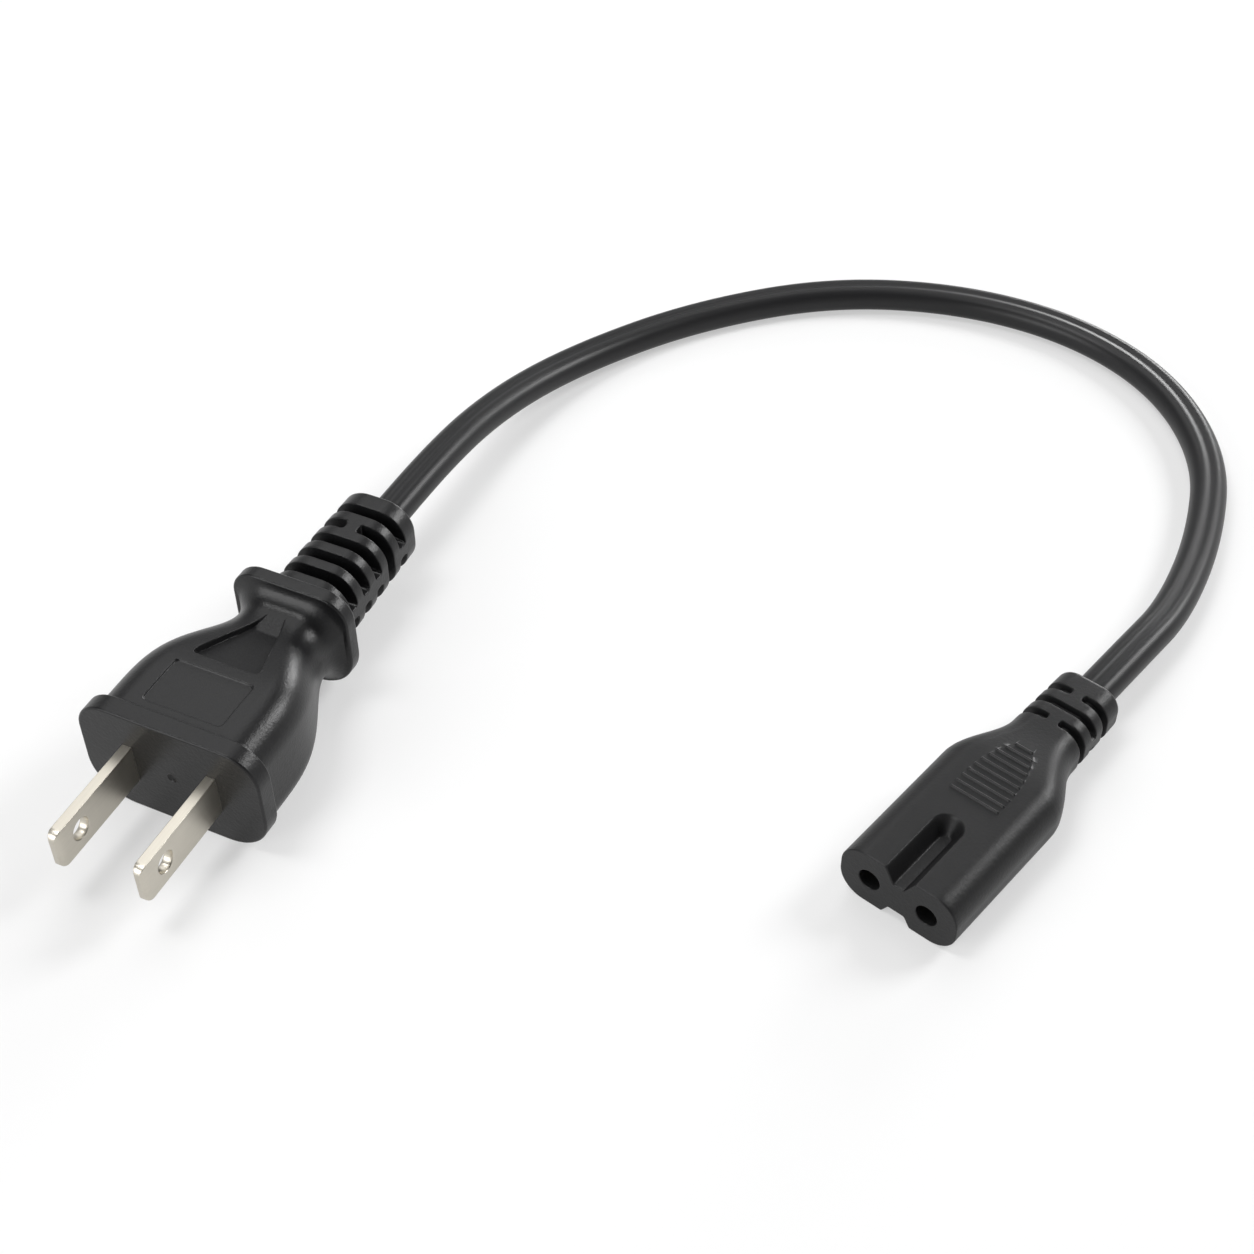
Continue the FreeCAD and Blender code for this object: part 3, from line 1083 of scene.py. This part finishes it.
    def sections(self) -> list[Section]:
        """Lists the sections along the axis.

        Returns:
            All sections from the mating face to the end of the strain relief.
        """
        flange = Section(0.0, self.flange_width, self.height, self.flange_top_corner,
                         self.flange_bottom_corner)
        collar = Section(0.0, self.collar_width, self.body_height, self.collar_top_corner,
                         self.collar_bottom_corner)
        panel_edges = [(self.label_front, 1), (self.label_end, -1), (self.arrow_front, 1)]
        body = np.linspace(self.flange_depth + self.root_fillet, self.collar_start, self.body_stations)[1:]
        boot_last = self.boot_end - self.boot_round
        boot = np.linspace(self.boot_start + self.boot_fillet, boot_last, self.boot_stations)[1:-1]
        return [
            *rounded_step(flange, 0.0, self.front_round, 1, True),
            *rounded_step(flange, self.flange_depth, self.rear_round, -1, True),
            *rounded_step(self.body(self.flange_depth), self.flange_depth, self.root_fillet, 1, False,
                          self.root_steps),
            *(self.body(y) for y in with_edges(body, panel_edges, self.panel_edge)),
            *rounded_step(collar, self.collar_start, self.collar_front_round, 1, True),
            *rounded_step(collar, self.boot_start, self.collar_rear_round, -1, True),
            *rounded_step(self.boot(self.boot_start), self.boot_start, self.boot_fillet, 1, False,
                          self.boot_fillet_steps),
            *(self.boot(y) for y in with_edges(boot, self.relief.edges(), self.slot_edge)),
            *rounded_step(self.boot(boot_last), self.boot_end, self.boot_round, -1, True, self.end_steps),
        ]

    def sink_panels(self, outline: np.ndarray, y: float) -> np.ndarray:
        """Sinks the label panel and the arrow panel into the top of the body.

        Args:
            outline: Outline of the body at y.
            y: Distance behind the mating face.

        Returns:
            The outline with its top sunk.
        """
        edge = self.panel_edge
        top = slice(0, self.grid.run())
        across = np.abs(outline[top, 0])
        along = min(y - self.label_front, self.label_end - y)
        sunk = edge.depth(rounded_inside(self.label_width / 2 - across, along, edge.plan), self.label_depth)
        if self.arrow_front - edge.mouth < y < self.waist_end:
            front, back = self.arrow_widths
            share = (y - self.arrow_front) / self.arrow_length
            half = (front + (back - front) * share) / 2
            slant = math.atan2((front - back) / 2, self.arrow_length)
            within = (half - across) * math.cos(slant)
            inside = rounded_inside(within, y - self.arrow_front, self.arrow_corner)
            floor = self.body(y).height / 2 - self._arrow_floor(y)
            sunk = np.minimum(edge.depth(inside, max(floor, self.arrow_least_depth)), max(floor, 0.0))
        carved = outline.copy()
        carved[top, 1] -= sunk
        return carved

    def _arrow_floor(self, y: float) -> float:
        """Height of the arrow panel's floor, which ramps up to the neck.

        Args:
            y: Distance behind the mating face.

        Returns:
            The height above the axis.
        """
        places = (self.arrow_front, self.waist_end - self.arrow_ramp, self.waist_end)
        front, foot, back = (self.body(place).height / 2 for place in places)
        return float(np.interp(y, places, (front - self.arrow_depth, foot - self.arrow_depth, back)))

    def ring(self, section: Section) -> np.ndarray:
        """Points of the moulding at one section, with panels and slots.

        Args:
            section: Plain outline.

        Returns:
            The points of the ring.
        """
        marks = self.marks(section.y)
        outline = section.outline(marks, self.grid)
        if self.flange_depth < section.y < self.collar_start:
            outline = self.sink_panels(outline, section.y)
        elif section.y > self.boot_start:
            outline = self.relief.carve(outline, section.y, self.sleeve().outline(marks, self.grid))
        return at_station(outline, section.y)

    def build(self) -> bpy.types.Object:
        """Makes the moulding.

        Returns:
            The moulding.
        """
        skin = Skin(self.place())
        face, end = skin.tube([self.ring(section) for section in self.sections()])
        gate_rim, gate_floor = skin.tube([
            circle(self.gate_radius + self.gate_lip, 0.0),
            circle(self.gate_radius, self.gate_lip),
            circle(self.gate_floor, self.gate_depth),
        ])
        skin.fill(face, gate_rim)
        skin.cap(gate_floor)
        self.close_on_cord(skin, end, self.boot_end)
        moulding = skin.piece("plug_moulding", self.finish.material("plug_vinyl"))
        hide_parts("plug_overmould")
        return moulding


@dataclass(frozen=True)
class Groove:
    """Tapered groove in the nose of the connector, with a round end, in mm."""

    width: float
    floor_width: float
    depth: float
    length: float
    soft: float = 0.24

    def sunk(self, across: np.ndarray, y: float) -> np.ndarray:
        """Depth of the groove.

        Args:
            across: Places across the axis.
            y: Distance behind the face.

        Returns:
            The depth at each place.
        """
        end = self.length - self.width / 2
        inside = self.width / 2 - np.hypot(across, max(y - end, 0.0))
        slope = 2 * self.depth / (self.width - self.floor_width)
        raised = self._soft_top(inside * slope)
        return self.depth - self._soft_top(self.depth - raised)

    def _soft_top(self, value: np.ndarray) -> np.ndarray:
        """The larger of a value and zero, eased where they cross."""
        blend = np.maximum(self.soft - np.abs(value), 0.0) / self.soft
        return np.maximum(value, 0.0) + blend ** 2 * self.soft / 4


@dataclass
class ConnectorMoulding(Moulding):
    """Outer moulding of the figure-eight connector about its own axis, in mm, with its face at y 0."""

    height: float = 8.8
    side_flat: float = 1.4
    face_width: float = 17.5
    grip_width: float = 17.6
    grip_length: float = 22.0
    waist_length: float = 11.0
    neck_width: float = 10.0
    neck_height: float = 7.8
    face_round: float = 0.22
    face_steps: int = 5
    pin_spacing: float = 8.6
    pin_hole_radius: float = 1.55
    pin_hole_depth: float = 3.0
    pin_hole_lip: float = 0.16
    pin_hole_steps: int = 4
    contact_radius: float = 1.5
    contact_back: float = 14.0
    key: Groove = Groove(4.4, 1.6, 2.4, 12.2)
    notch: Groove = Groove(4.2, 2.4, 1.5, 12.2)
    key_stations: tuple[int, int, int] = (14, 26, 8)
    key_clear: float = 0.4
    mark_gap: float = 0.5
    ridge_count: int = 10
    ridge_start: float = 15.9
    ridge_clear: float = 0.2
    ridge_pitch: float = 1.28
    ridge_width: float = 0.45
    ridge_height: float = 0.25
    ridge_lengths: Pair = (7.4, 2.8)
    ridge_taper_power: int = 3
    ridge_round_power: float = 0.8
    ridge_end: float = 0.16
    ridge_shares: tuple[float, ...] = (-0.02, 0.06, 0.15, 0.28, 0.5, 0.72, 0.85, 0.94, 1.02)
    waist_stations: int = 10
    tail_length: float = 11.5
    tail_rear: Pair = (9.4, 7.4)
    tail_round: float = 0.7
    tail_stations: int = 16
    slot_kinds: str = "top side top"
    first_ring: float = 0.25
    end_ring: float = 2.4
    slot_width: float = 1.3
    bridge_width: float = 1.7
    sleeve_wall: float = 0.6
    sleeve_corner: float = 1.5
    slot_edge: EdgeRound = EdgeRound(0.14, 0.06, 0.14, 0.5)
    finish: MouldedVinyl = MouldedVinyl(gloss=0.33, relief_strength=0.3)

    def __post_init__(self) -> None:
        """Works out the distances behind the face, the grid and the slots."""
        self.tail_start = self.grip_length + self.waist_length
        self.tail_end = self.tail_start + self.tail_length
        self.grid = Grid(self.slot_edge, inner=21, corner=18)
        self.relief = self.relief_between(self.tail_start, self.tail_end)

    @staticmethod
    def place(mounts: Sequence[dict[str, Any]]) -> Matrix:
        """Turns the connector's own millimetres into metres in the frame.

        Args:
            mounts: The record's mounts, one of which is the connector's face.

        Returns:
            The place.
        """
        face = next(mount for mount in mounts if mount["name"] == "connector_face")
        back = -Vector(face["axis"])
        turn = math.atan2(-back.x, back.y)
        return Matrix.Translation(face["pos_m"]) @ Matrix.Rotation(turn, 4, "Z") @ Matrix.Scale(MM, 4)

    def _oval(self, y: float, width: float, height: float) -> Section:
        """Section with round sides, apart from a short flat, at y."""
        corner = (height - self.side_flat) / 2
        return Section(y, width, height, corner, corner)

    def body(self, y: float) -> Section:
        """Section of the nose, the grip and the drawn-in waist.

        Args:
            y: Distance behind the face.

        Returns:
            The section.
        """
        drawn = eased((y - self.grip_length) / self.waist_length)
        nose = self.face_width + (self.grip_width - self.face_width) * min(y / self.grip_length, 1.0)
        width = nose - (self.grip_width - self.neck_width) * drawn
        return self._oval(y, width, self.height - (self.height - self.neck_height) * drawn)

    def tail(self, y: float) -> Section:
        """Section of the tapered strain relief.

        Args:
            y: Distance behind the face.

        Returns:
            The section.
        """
        share = (y - self.tail_start) / self.tail_length
        width = self.neck_width + (self.tail_rear[0] - self.neck_width) * share
        return self._oval(y, width, self.neck_height + (self.tail_rear[1] - self.neck_height) * share)

    def ridges(self) -> list[Pair]:
        """Spreads the grip ridges, which get shorter towards the cord.

        Returns:
            Start and half length of each ridge.
        """
        longest, shortest = self.ridge_lengths
        shares = [(index / (self.ridge_count - 1)) ** self.ridge_taper_power
                  for index in range(self.ridge_count)]
        return [(self.ridge_start + index * self.ridge_pitch, (longest + (shortest - longest) * share) / 2)
                for index, share in enumerate(shares)]

    def marks(self, y: float) -> Marks:
        """Gathers the grid lines at the grooves, then at the ridges' ends, then at the bridges.

        Args:
            y: Distance behind the face.

        Returns:
            Where the lines gather.
        """
        starts, halves = zip(*self.ridges())
        bridge = self.bridge_width / 2
        places = [self.key.length + self.mark_gap, *starts, self.tail_start]
        top = np.interp(y, places, [self.key.width / 2, *halves, bridge])
        below = (self.notch.length + self.mark_gap, self.tail_start)
        return Marks(float(top), bridge, float(np.interp(y, below, (self.notch.width / 2, bridge))))

    def sections(self) -> list[Section]:
        """Lists the sections along the axis.

        Returns:
            All sections from behind the rounded face to the end of the strain relief.
        """
        straight, bend, land = self.key_stations
        bend_start = self.key.length - self.key.width / 2
        bend_end = self.key.length + self.key_clear
        ridge_lines = self.ridge_width * np.array(self.ridge_shares)
        ridge_starts = [start for start, _ in self.ridges()]
        body = np.concatenate([
            np.linspace(self.face_round, bend_start, straight),
            np.linspace(bend_start, bend_end, bend)[1:],
            np.linspace(bend_end, self.ridge_start - self.ridge_clear, land)[1:],
            *(start + ridge_lines for start in ridge_starts),
            np.linspace(ridge_starts[-1] + self.ridge_pitch, self.tail_start, self.waist_stations),
        ])
        tail_last = self.tail_end - self.tail_round
        tail = np.linspace(self.tail_start, tail_last, self.tail_stations)[1:-1]
        return [
            *(self.body(y) for y in body),
            *(self.tail(y) for y in with_edges(tail, self.relief.edges(), self.slot_edge)),
            *rounded_step(self.tail(tail_last), self.tail_end, self.tail_round, -1, True, self.end_steps),
        ]

    def shaped(self, section: Section) -> np.ndarray:
        """Outline at one section, with grooves, ridges and slots.

        Args:
            section: Plain outline.

        Returns:
            An array of x and z.
        """
        marks = self.marks(section.y)
        outline = section.outline(marks, self.grid)
        if section.y > self.tail_start:
            return self.relief.carve(outline, section.y, self.sleeve().outline(marks, self.grid))
        run = self.grid.run()
        under_start = 2 * (run + self.grid.corner - 1)
        top, underside = slice(0, run), slice(under_start, under_start + run)
        outline[top, 1] -= self.key.sunk(outline[top, 0], section.y)
        outline[underside, 1] += self.notch.sunk(outline[underside, 0], section.y)
        for start, half in self.ridges():
            share = (section.y - start) / self.ridge_width
            if 0.0 < share < 1.0:
                across = np.clip((half - np.abs(outline[top, 0])) / self.ridge_end, 0.0, 1.0)
                crown = math.sin(math.pi * share) ** self.ridge_round_power
                outline[top, 1] += self.ridge_height * crown * across
        return outline

    def build(self, mounts: Sequence[dict[str, Any]]) -> bpy.types.Object:
        """Makes the moulding.

        Args:
            mounts: The record's mounts.

        Returns:
            The moulding.
        """
        skin = Skin(self.place(mounts))
        front = self.shaped(self.body(0.0))
        rings = [at_station(inset(front, away), ahead)
                 for away, ahead in quarter_round(self.face_round, self.face_steps)[:-1]]
        rings += [at_station(self.shaped(section), section.y) for section in self.sections()]
        face, end = skin.tube(rings)
        skin.fill(face, *(self._pin_hole(skin, side * self.pin_spacing / 2) for side in (-1, 1)))
        self.close_on_cord(skin, end, self.tail_end)
        moulding = skin.piece("connector_moulding", self.finish.material("connector_vinyl"))
        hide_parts("connector_overmould")
        return moulding

    def _pin_hole(self, skin: Skin, x: float) -> Loop:
        """Adds one blind pin hole that hugs the contact inside.

        Args:
            skin: Mesh to add to.
            x: Place of the hole across the axis.

        Returns:
            The loop of the hole's rim.
        """
        rim, floor = skin.tube([
            *(circle(self.pin_hole_radius + away, ahead, x)
              for away, ahead in quarter_round(self.pin_hole_lip, self.pin_hole_steps)),
            circle(self.pin_hole_radius, self.pin_hole_depth, x),
            circle(self.contact_radius, self.pin_hole_depth, x),
            circle(self.contact_radius, self.contact_back, x),
        ])
        skin.cap(floor)
        return rim


@dataclass
class BladePair:
    """The two stamped blades, each with a tapered tip, a hole and the crimp inside the moulding, in mm."""

    spacing: float = 12.7
    length: float = 16.5
    width: float = 6.3
    thickness: float = 1.5
    hole_radius: float = 1.55
    hole_from_face: float = 11.8
    hole_steps: int = 32
    tip_length: float = 1.3
    tip_drop: float = 1.05
    tip_thinning: float = 0.4
    tip_turn: float = 70.0
    tip_steps: int = 5
    plate_end: float = 9.0
    neck_width: float = 2.2
    neck_length: float = 2.0
    neck_lap: float = 0.2
    crimp_length: float = 5.0
    crimp_radius: float = 1.05
    crimp_wall: float = 0.5
    crimp_points: int = 24
    conductor_radius: float = 0.55
    bevel_angle: float = math.radians(30)
    bevel_steps: int = 3
    bevel_profile: float = 0.5
    edge_round: float = 0.1
    hole_round: float = 0.18
    finish: StampedMetal = StampedMetal((0.455, 0.427, 0.368), (0.645, 0.61, 0.535))

    def build(self, place: Matrix) -> list[bpy.types.Object]:
        """Makes both blades.

        Args:
            place: The plug's place.

        Returns:
            The blades.
        """
        material = self.finish.material("blade_plating")
        blades = []
        for name, side in (("left", -1), ("right", 1)):
            skin = Skin(place)
            self._plate(skin, side * self.spacing / 2)
            self._crimp(skin, side * self.spacing / 2)
            blade = skin.piece("blade_%s_plated" % name, material)
            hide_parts("blade_" + name)
            blades.append(blade)
        return blades

    def _face(self, skin: Skin, x: float, side: int) -> dict[str, Loop]:
        """Adds the points of one broad face.

        Args:
            skin: Mesh to add to.
            x: Place of the blade across the plug.
            side: -1 for its left face, 1 for its right one.

        Returns:
            The points of the hole, of the square round it, of the tip's two edges and of the rear end.
        """
        half = self.width / 2
        flat = x + side * self.thickness / 2
        middle = -self.hole_from_face
        turn = np.linspace(0, 2 * math.pi, self.hole_steps, endpoint=False) + math.pi / 4
        unit = np.column_stack([np.cos(turn), np.sin(turn)])
        square = unit * half / np.abs(unit).max(axis=1, keepdims=True)
        bend = np.radians(np.linspace(0.0, self.tip_turn, self.tip_steps + 1))
        ahead = self.tip_length * (1 - np.sin(bend) / math.sin(bend[-1])) - self.length
        drawn = (1 - np.cos(bend)) / (1 - math.cos(bend[-1]))
        tip = [(flat - side * self.tip_thinning * share, y, half - self.tip_drop * share)
               for y, share in zip(ahead, drawn)]
        rows = {
            "hole": [(flat, middle + self.hole_radius * a, self.hole_radius * b) for a, b in unit],
            "square": [(flat, middle + a, b) for a, b in square],
            "upper": tip,
            "lower": [(place, y, -z) for place, y, z in tip],
            "rear": [(flat, self.plate_end, -half), (flat, self.plate_end, half)],
        }
        return {name: skin.ring(points) for name, points in rows.items()}

    def _plate(self, skin: Skin, x: float) -> None:
        """Adds the flat plate with its tapered tip and its hole, and rounds its edges.

        Args:
            skin: Mesh to add to.
            x: Place of the blade across the plug.
        """
        mesh = skin.mesh
        faces = [self._face(skin, x, side) for side in (-1, 1)]
        quarter = self.hole_steps // 4
        for loops in faces:
            square, upper, lower = loops["square"], loops["upper"], loops["lower"]
            skin.bridge(square, loops["hole"])
            skin.cap([lower[0], upper[0], *square[quarter:2 * quarter + 1]],
                     [loops["rear"][1], loops["rear"][0], *square[3 * quarter:], square[0]])
            for step in range(self.tip_steps):
                skin.cap([lower[step], upper[step], upper[step + 1], lower[step + 1]])
        skin.bridge(*(self._rim(loops, quarter) for loops in faces))
        holes = [loops["hole"] for loops in faces]
        skin.bridge(*holes)
        bmesh.ops.recalc_face_normals(mesh, faces=mesh.faces)
        round_hole = {vertex for hole in holes for vertex in hole}
        sharp = [edge for edge in mesh.edges if edge.calc_face_angle(0.0) > self.bevel_angle]
        hole_edges = [edge for edge in sharp if round_hole.issuperset(edge.verts)]
        outer_edges = [edge for edge in sharp if not round_hole.intersection(edge.verts)]
        for edges, radius in ((outer_edges, self.edge_round), (hole_edges, self.hole_round)):
            bmesh.ops.bevel(mesh, geom=edges, offset=radius * MM, offset_type="OFFSET", affect="EDGES",
                            segments=self.bevel_steps, profile=self.bevel_profile, clamp_overlap=False)

    @staticmethod
    def _rim(loops: dict[str, Loop], quarter: int) -> Loop:
        """Outer rim of one broad face, in order.

        Args:
            loops: Points of the face.
            quarter: Points on one side of the square round the hole.

        Returns:
            The rim's points.
        """
        upper = loops["square"][:quarter + 1]
        lower = loops["square"][2 * quarter:3 * quarter + 1]
        return [loops["rear"][1], *upper, *loops["upper"], *loops["lower"][::-1], *lower, loops["rear"][0]]

    def _crimp(self, skin: Skin, x: float) -> None:
        """Adds the narrow neck and the crimp barrel behind the plate.

        Args:
            skin: Mesh to add to.
            x: Place of the blade across the plug.
        """
        half_t, half_w = self.thickness / 2, self.neck_width / 2
        start = self.plate_end + self.neck_length
        end = start + self.crimp_length
        corners = np.array([(-half_t, -half_w), (-half_t, half_w), (half_t, half_w), (half_t, -half_w)])
        neck = corners + (x, 0.0)
        skin.cap(*skin.tube([at_station(neck, self.plate_end - self.neck_lap),
                             at_station(neck, start + self.neck_lap)]))
        skin.cap(*skin.tube([circle(radius, y, x, self.crimp_points) for radius, y in (
            (self.crimp_radius, start),
            (self.crimp_radius, end),
            (self.conductor_radius, end),
            (self.conductor_radius, start + self.crimp_wall),
        )]))


@dataclass
class InnerPieces:
    """Finishes of the solids that the mouldings hide."""

    bridge: PlainResin = PlainResin((0.02, 0.02, 0.02), (0.04, 0.04, 0.04))
    insulation: PlainResin = PlainResin((0.55, 0.55, 0.52), (0.70, 0.70, 0.66))
    contact: StampedMetal = StampedMetal((0.50, 0.36, 0.16), (0.66, 0.50, 0.25))
    strand: StampedMetal = StampedMetal((0.50, 0.24, 0.12), (0.66, 0.34, 0.19))

    def dress(self, nodes: dict[str, bpy.types.Object]) -> None:
        """Gives each hidden solid its finish.

        Args:
            nodes: The frame's solids by name.
        """
        finishes = {
            "insert": self.bridge.material("bridge_resin"),
            "core": self.insulation.material("core_insulation"),
            "contact": self.contact.material("contact_brass"),
            "conductor": self.strand.material("conductor_copper"),
        }
        for name, solid in nodes.items():
            for word, material in finishes.items():
                if word in name.split("_"):
                    solid.data.materials.clear()
                    solid.data.materials.append(material)
                    LOG.info("%s takes %s", name, material.name)


@dataclass(frozen=True)
class Softbox:
    """Rectangular lamp that faces the object: its place and sides in metres, and its power in watts."""

    name: str
    place: Triple
    sides: Pair
    power: float

    def hang(self, target: Triple) -> None:
        """Hangs the lamp.

        Args:
            target: Point that it faces.
        """
        data = bpy.data.lights.new(self.name, "AREA")
        data.shape = "RECTANGLE"
        data.size, data.size_y = self.sides
        data.energy = self.power
        lamp = linked(self.name, data)
        lamp.location = self.place
        lamp.rotation_euler = (Vector(target) - Vector(self.place)).to_track_quat("-Z", "Y").to_euler()


@dataclass
class Studio:
    """Pale floor, soft lights and the camera, in metres and degrees."""

    azimuth: float = 25.61
    elevation: float = 45.027
    roll: float = -0.508
    distance: float = 0.296014
    target: Triple = (0.03745, 0.03871, 0.0)
    focal_pixels: float = 2064.546
    floor_size: float = 6.0
    floor_colour: Colour = (0.80, 0.80, 0.80)
    floor_white: Pair = (0.45, 0.98)
    floor_fade: Pair = (0.22, 0.80)
    sky_light: Pair = (0.58, 0.08)
    sky_band: Pair = (0.25, 0.6)
    haze_band: Pair = (0.04, 0.14)
    softboxes: tuple[Softbox, ...] = (
        Softbox("key_softbox", (-0.27, 0.42, 0.75), (0.60, 0.70), 2.5),
        Softbox("top_softbox", (-0.27, -0.10, 0.86), (0.26, 0.36), 2.8),
        Softbox("back_strip", (0.11, 0.90, 0.22), (0.32, 0.24), 3.2),
        Softbox("side_strip", (0.52, 0.58, 0.52), (0.30, 0.34), 4.9),
        Softbox("edge_strip", (-0.34, -0.72, 0.40), (0.56, 0.42), 4.2),
    )

    def build(self) -> None:
        """Makes the whole studio."""
        self.camera()
        self.floor()
        self.world()
        for softbox in self.softboxes:
            softbox.hang(self.target)
        bpy.context.scene.view_settings.view_transform = "Standard"

    def camera(self) -> None:
        """Sets the camera at the photograph's viewing angle."""
        turn, rise, lean = (math.radians(value) for value in (self.azimuth, self.elevation, self.roll))
        back = Vector((math.sin(turn) * math.cos(rise), -math.cos(turn) * math.cos(rise), math.sin(rise)))
        level = Vector((math.cos(turn), math.sin(turn), 0.0))
        upright = back.cross(level)
        right = level * math.cos(lean) + upright * math.sin(lean)
        up = upright * math.cos(lean) - level * math.sin(lean)
        data = bpy.data.cameras.new("photo_camera")
        data.sensor_width = SENSOR_MM
        data.lens = self.focal_pixels / IMAGE_PIXELS * SENSOR_MM
        data.clip_start = NEAR_CLIP
        camera = linked("photo_camera", data)
        axes = Matrix((right, up, back)).transposed().to_4x4()
        camera.matrix_world = Matrix.Translation(Vector(self.target) + back * self.distance) @ axes
        bpy.context.scene.camera = camera

    def floor(self) -> None:
        """Lays the floor, which keeps the shadow and turns to plain white away from the object."""
        half = self.floor_size / 2
        data = bpy.data.meshes.new("floor")
        corners = [(-half, -half, 0), (half, -half, 0), (half, half, 0), (-half, half, 0)]
        data.from_pydata(corners, [], [(0, 1, 2, 3)])
        floor = linked("floor", data)
        material, sheet, place = fresh_sheet("floor_paper")
        away = {0: place, 1: self.target}
        distance = sheet.node("ShaderNodeVectorMath", {"operation": "DISTANCE"}, away, "Value")
        share = sheet.ranged(distance, self.floor_fade, self.floor_white)
        paper = sheet.node("ShaderNodeBsdfDiffuse", None, {"Color": (*self.floor_colour, 1.0)}, "BSDF")
        white = sheet.node("ShaderNodeEmission", None, {"Color": WHITE, "Strength": 1.0}, "Emission")
        mix = {0: share * sheet.seen(), 1: paper, 2: white}
        sheet.close(sheet.node("ShaderNodeMixShader", None, mix, "Shader"))
        data.materials.append(material)

    def world(self) -> None:
        """Surrounds the scene with soft light, brightest near the horizon, where the room looks white."""
        world = bpy.data.worlds.new("white_room")
        bpy.context.scene.world = world
        sheet = NodeSheet(world)
        direction = sheet.node("ShaderNodeTexCoord", None, None, "Generated")
        rise = sheet.node("ShaderNodeSeparateXYZ", None, {"Vector": direction}, "Z")
        light = sheet.ranged(rise, self.sky_band, self.sky_light)
        haze = sheet.ranged(rise, self.haze_band, (1.0 - self.sky_light[0], 0.0))
        sockets = {"Color": WHITE, "Strength": light + haze * sheet.seen()}
        sheet.close(sheet.node("ShaderNodeBackground", None, sockets, "Background"), "ShaderNodeOutputWorld")


def main() -> None:
    """Builds and dresses each sub-assembly in order."""
    logging.basicConfig(level=logging.INFO, format="%(name)s: %(message)s")
    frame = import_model()
    Studio().build()
    InnerPieces().dress(frame["nodes"])
    plug = PlugMoulding()
    pieces = [plug.build(), *BladePair().build(plug.place())]
    connector = ConnectorMoulding().build(frame["record"]["mounts"])
    on_cord = [solid for name, solid in frame["nodes"].items()
               if name.startswith(("connector_", "contact_")) and name != "connector_overmould"]
    pieces += [connector, CordRun().build([connector, *on_cord])]
    for piece in pieces:
        LOG.info("built %s with %d faces", piece.name, len(piece.data.polygons))


if __name__ == "__main__":
    main()
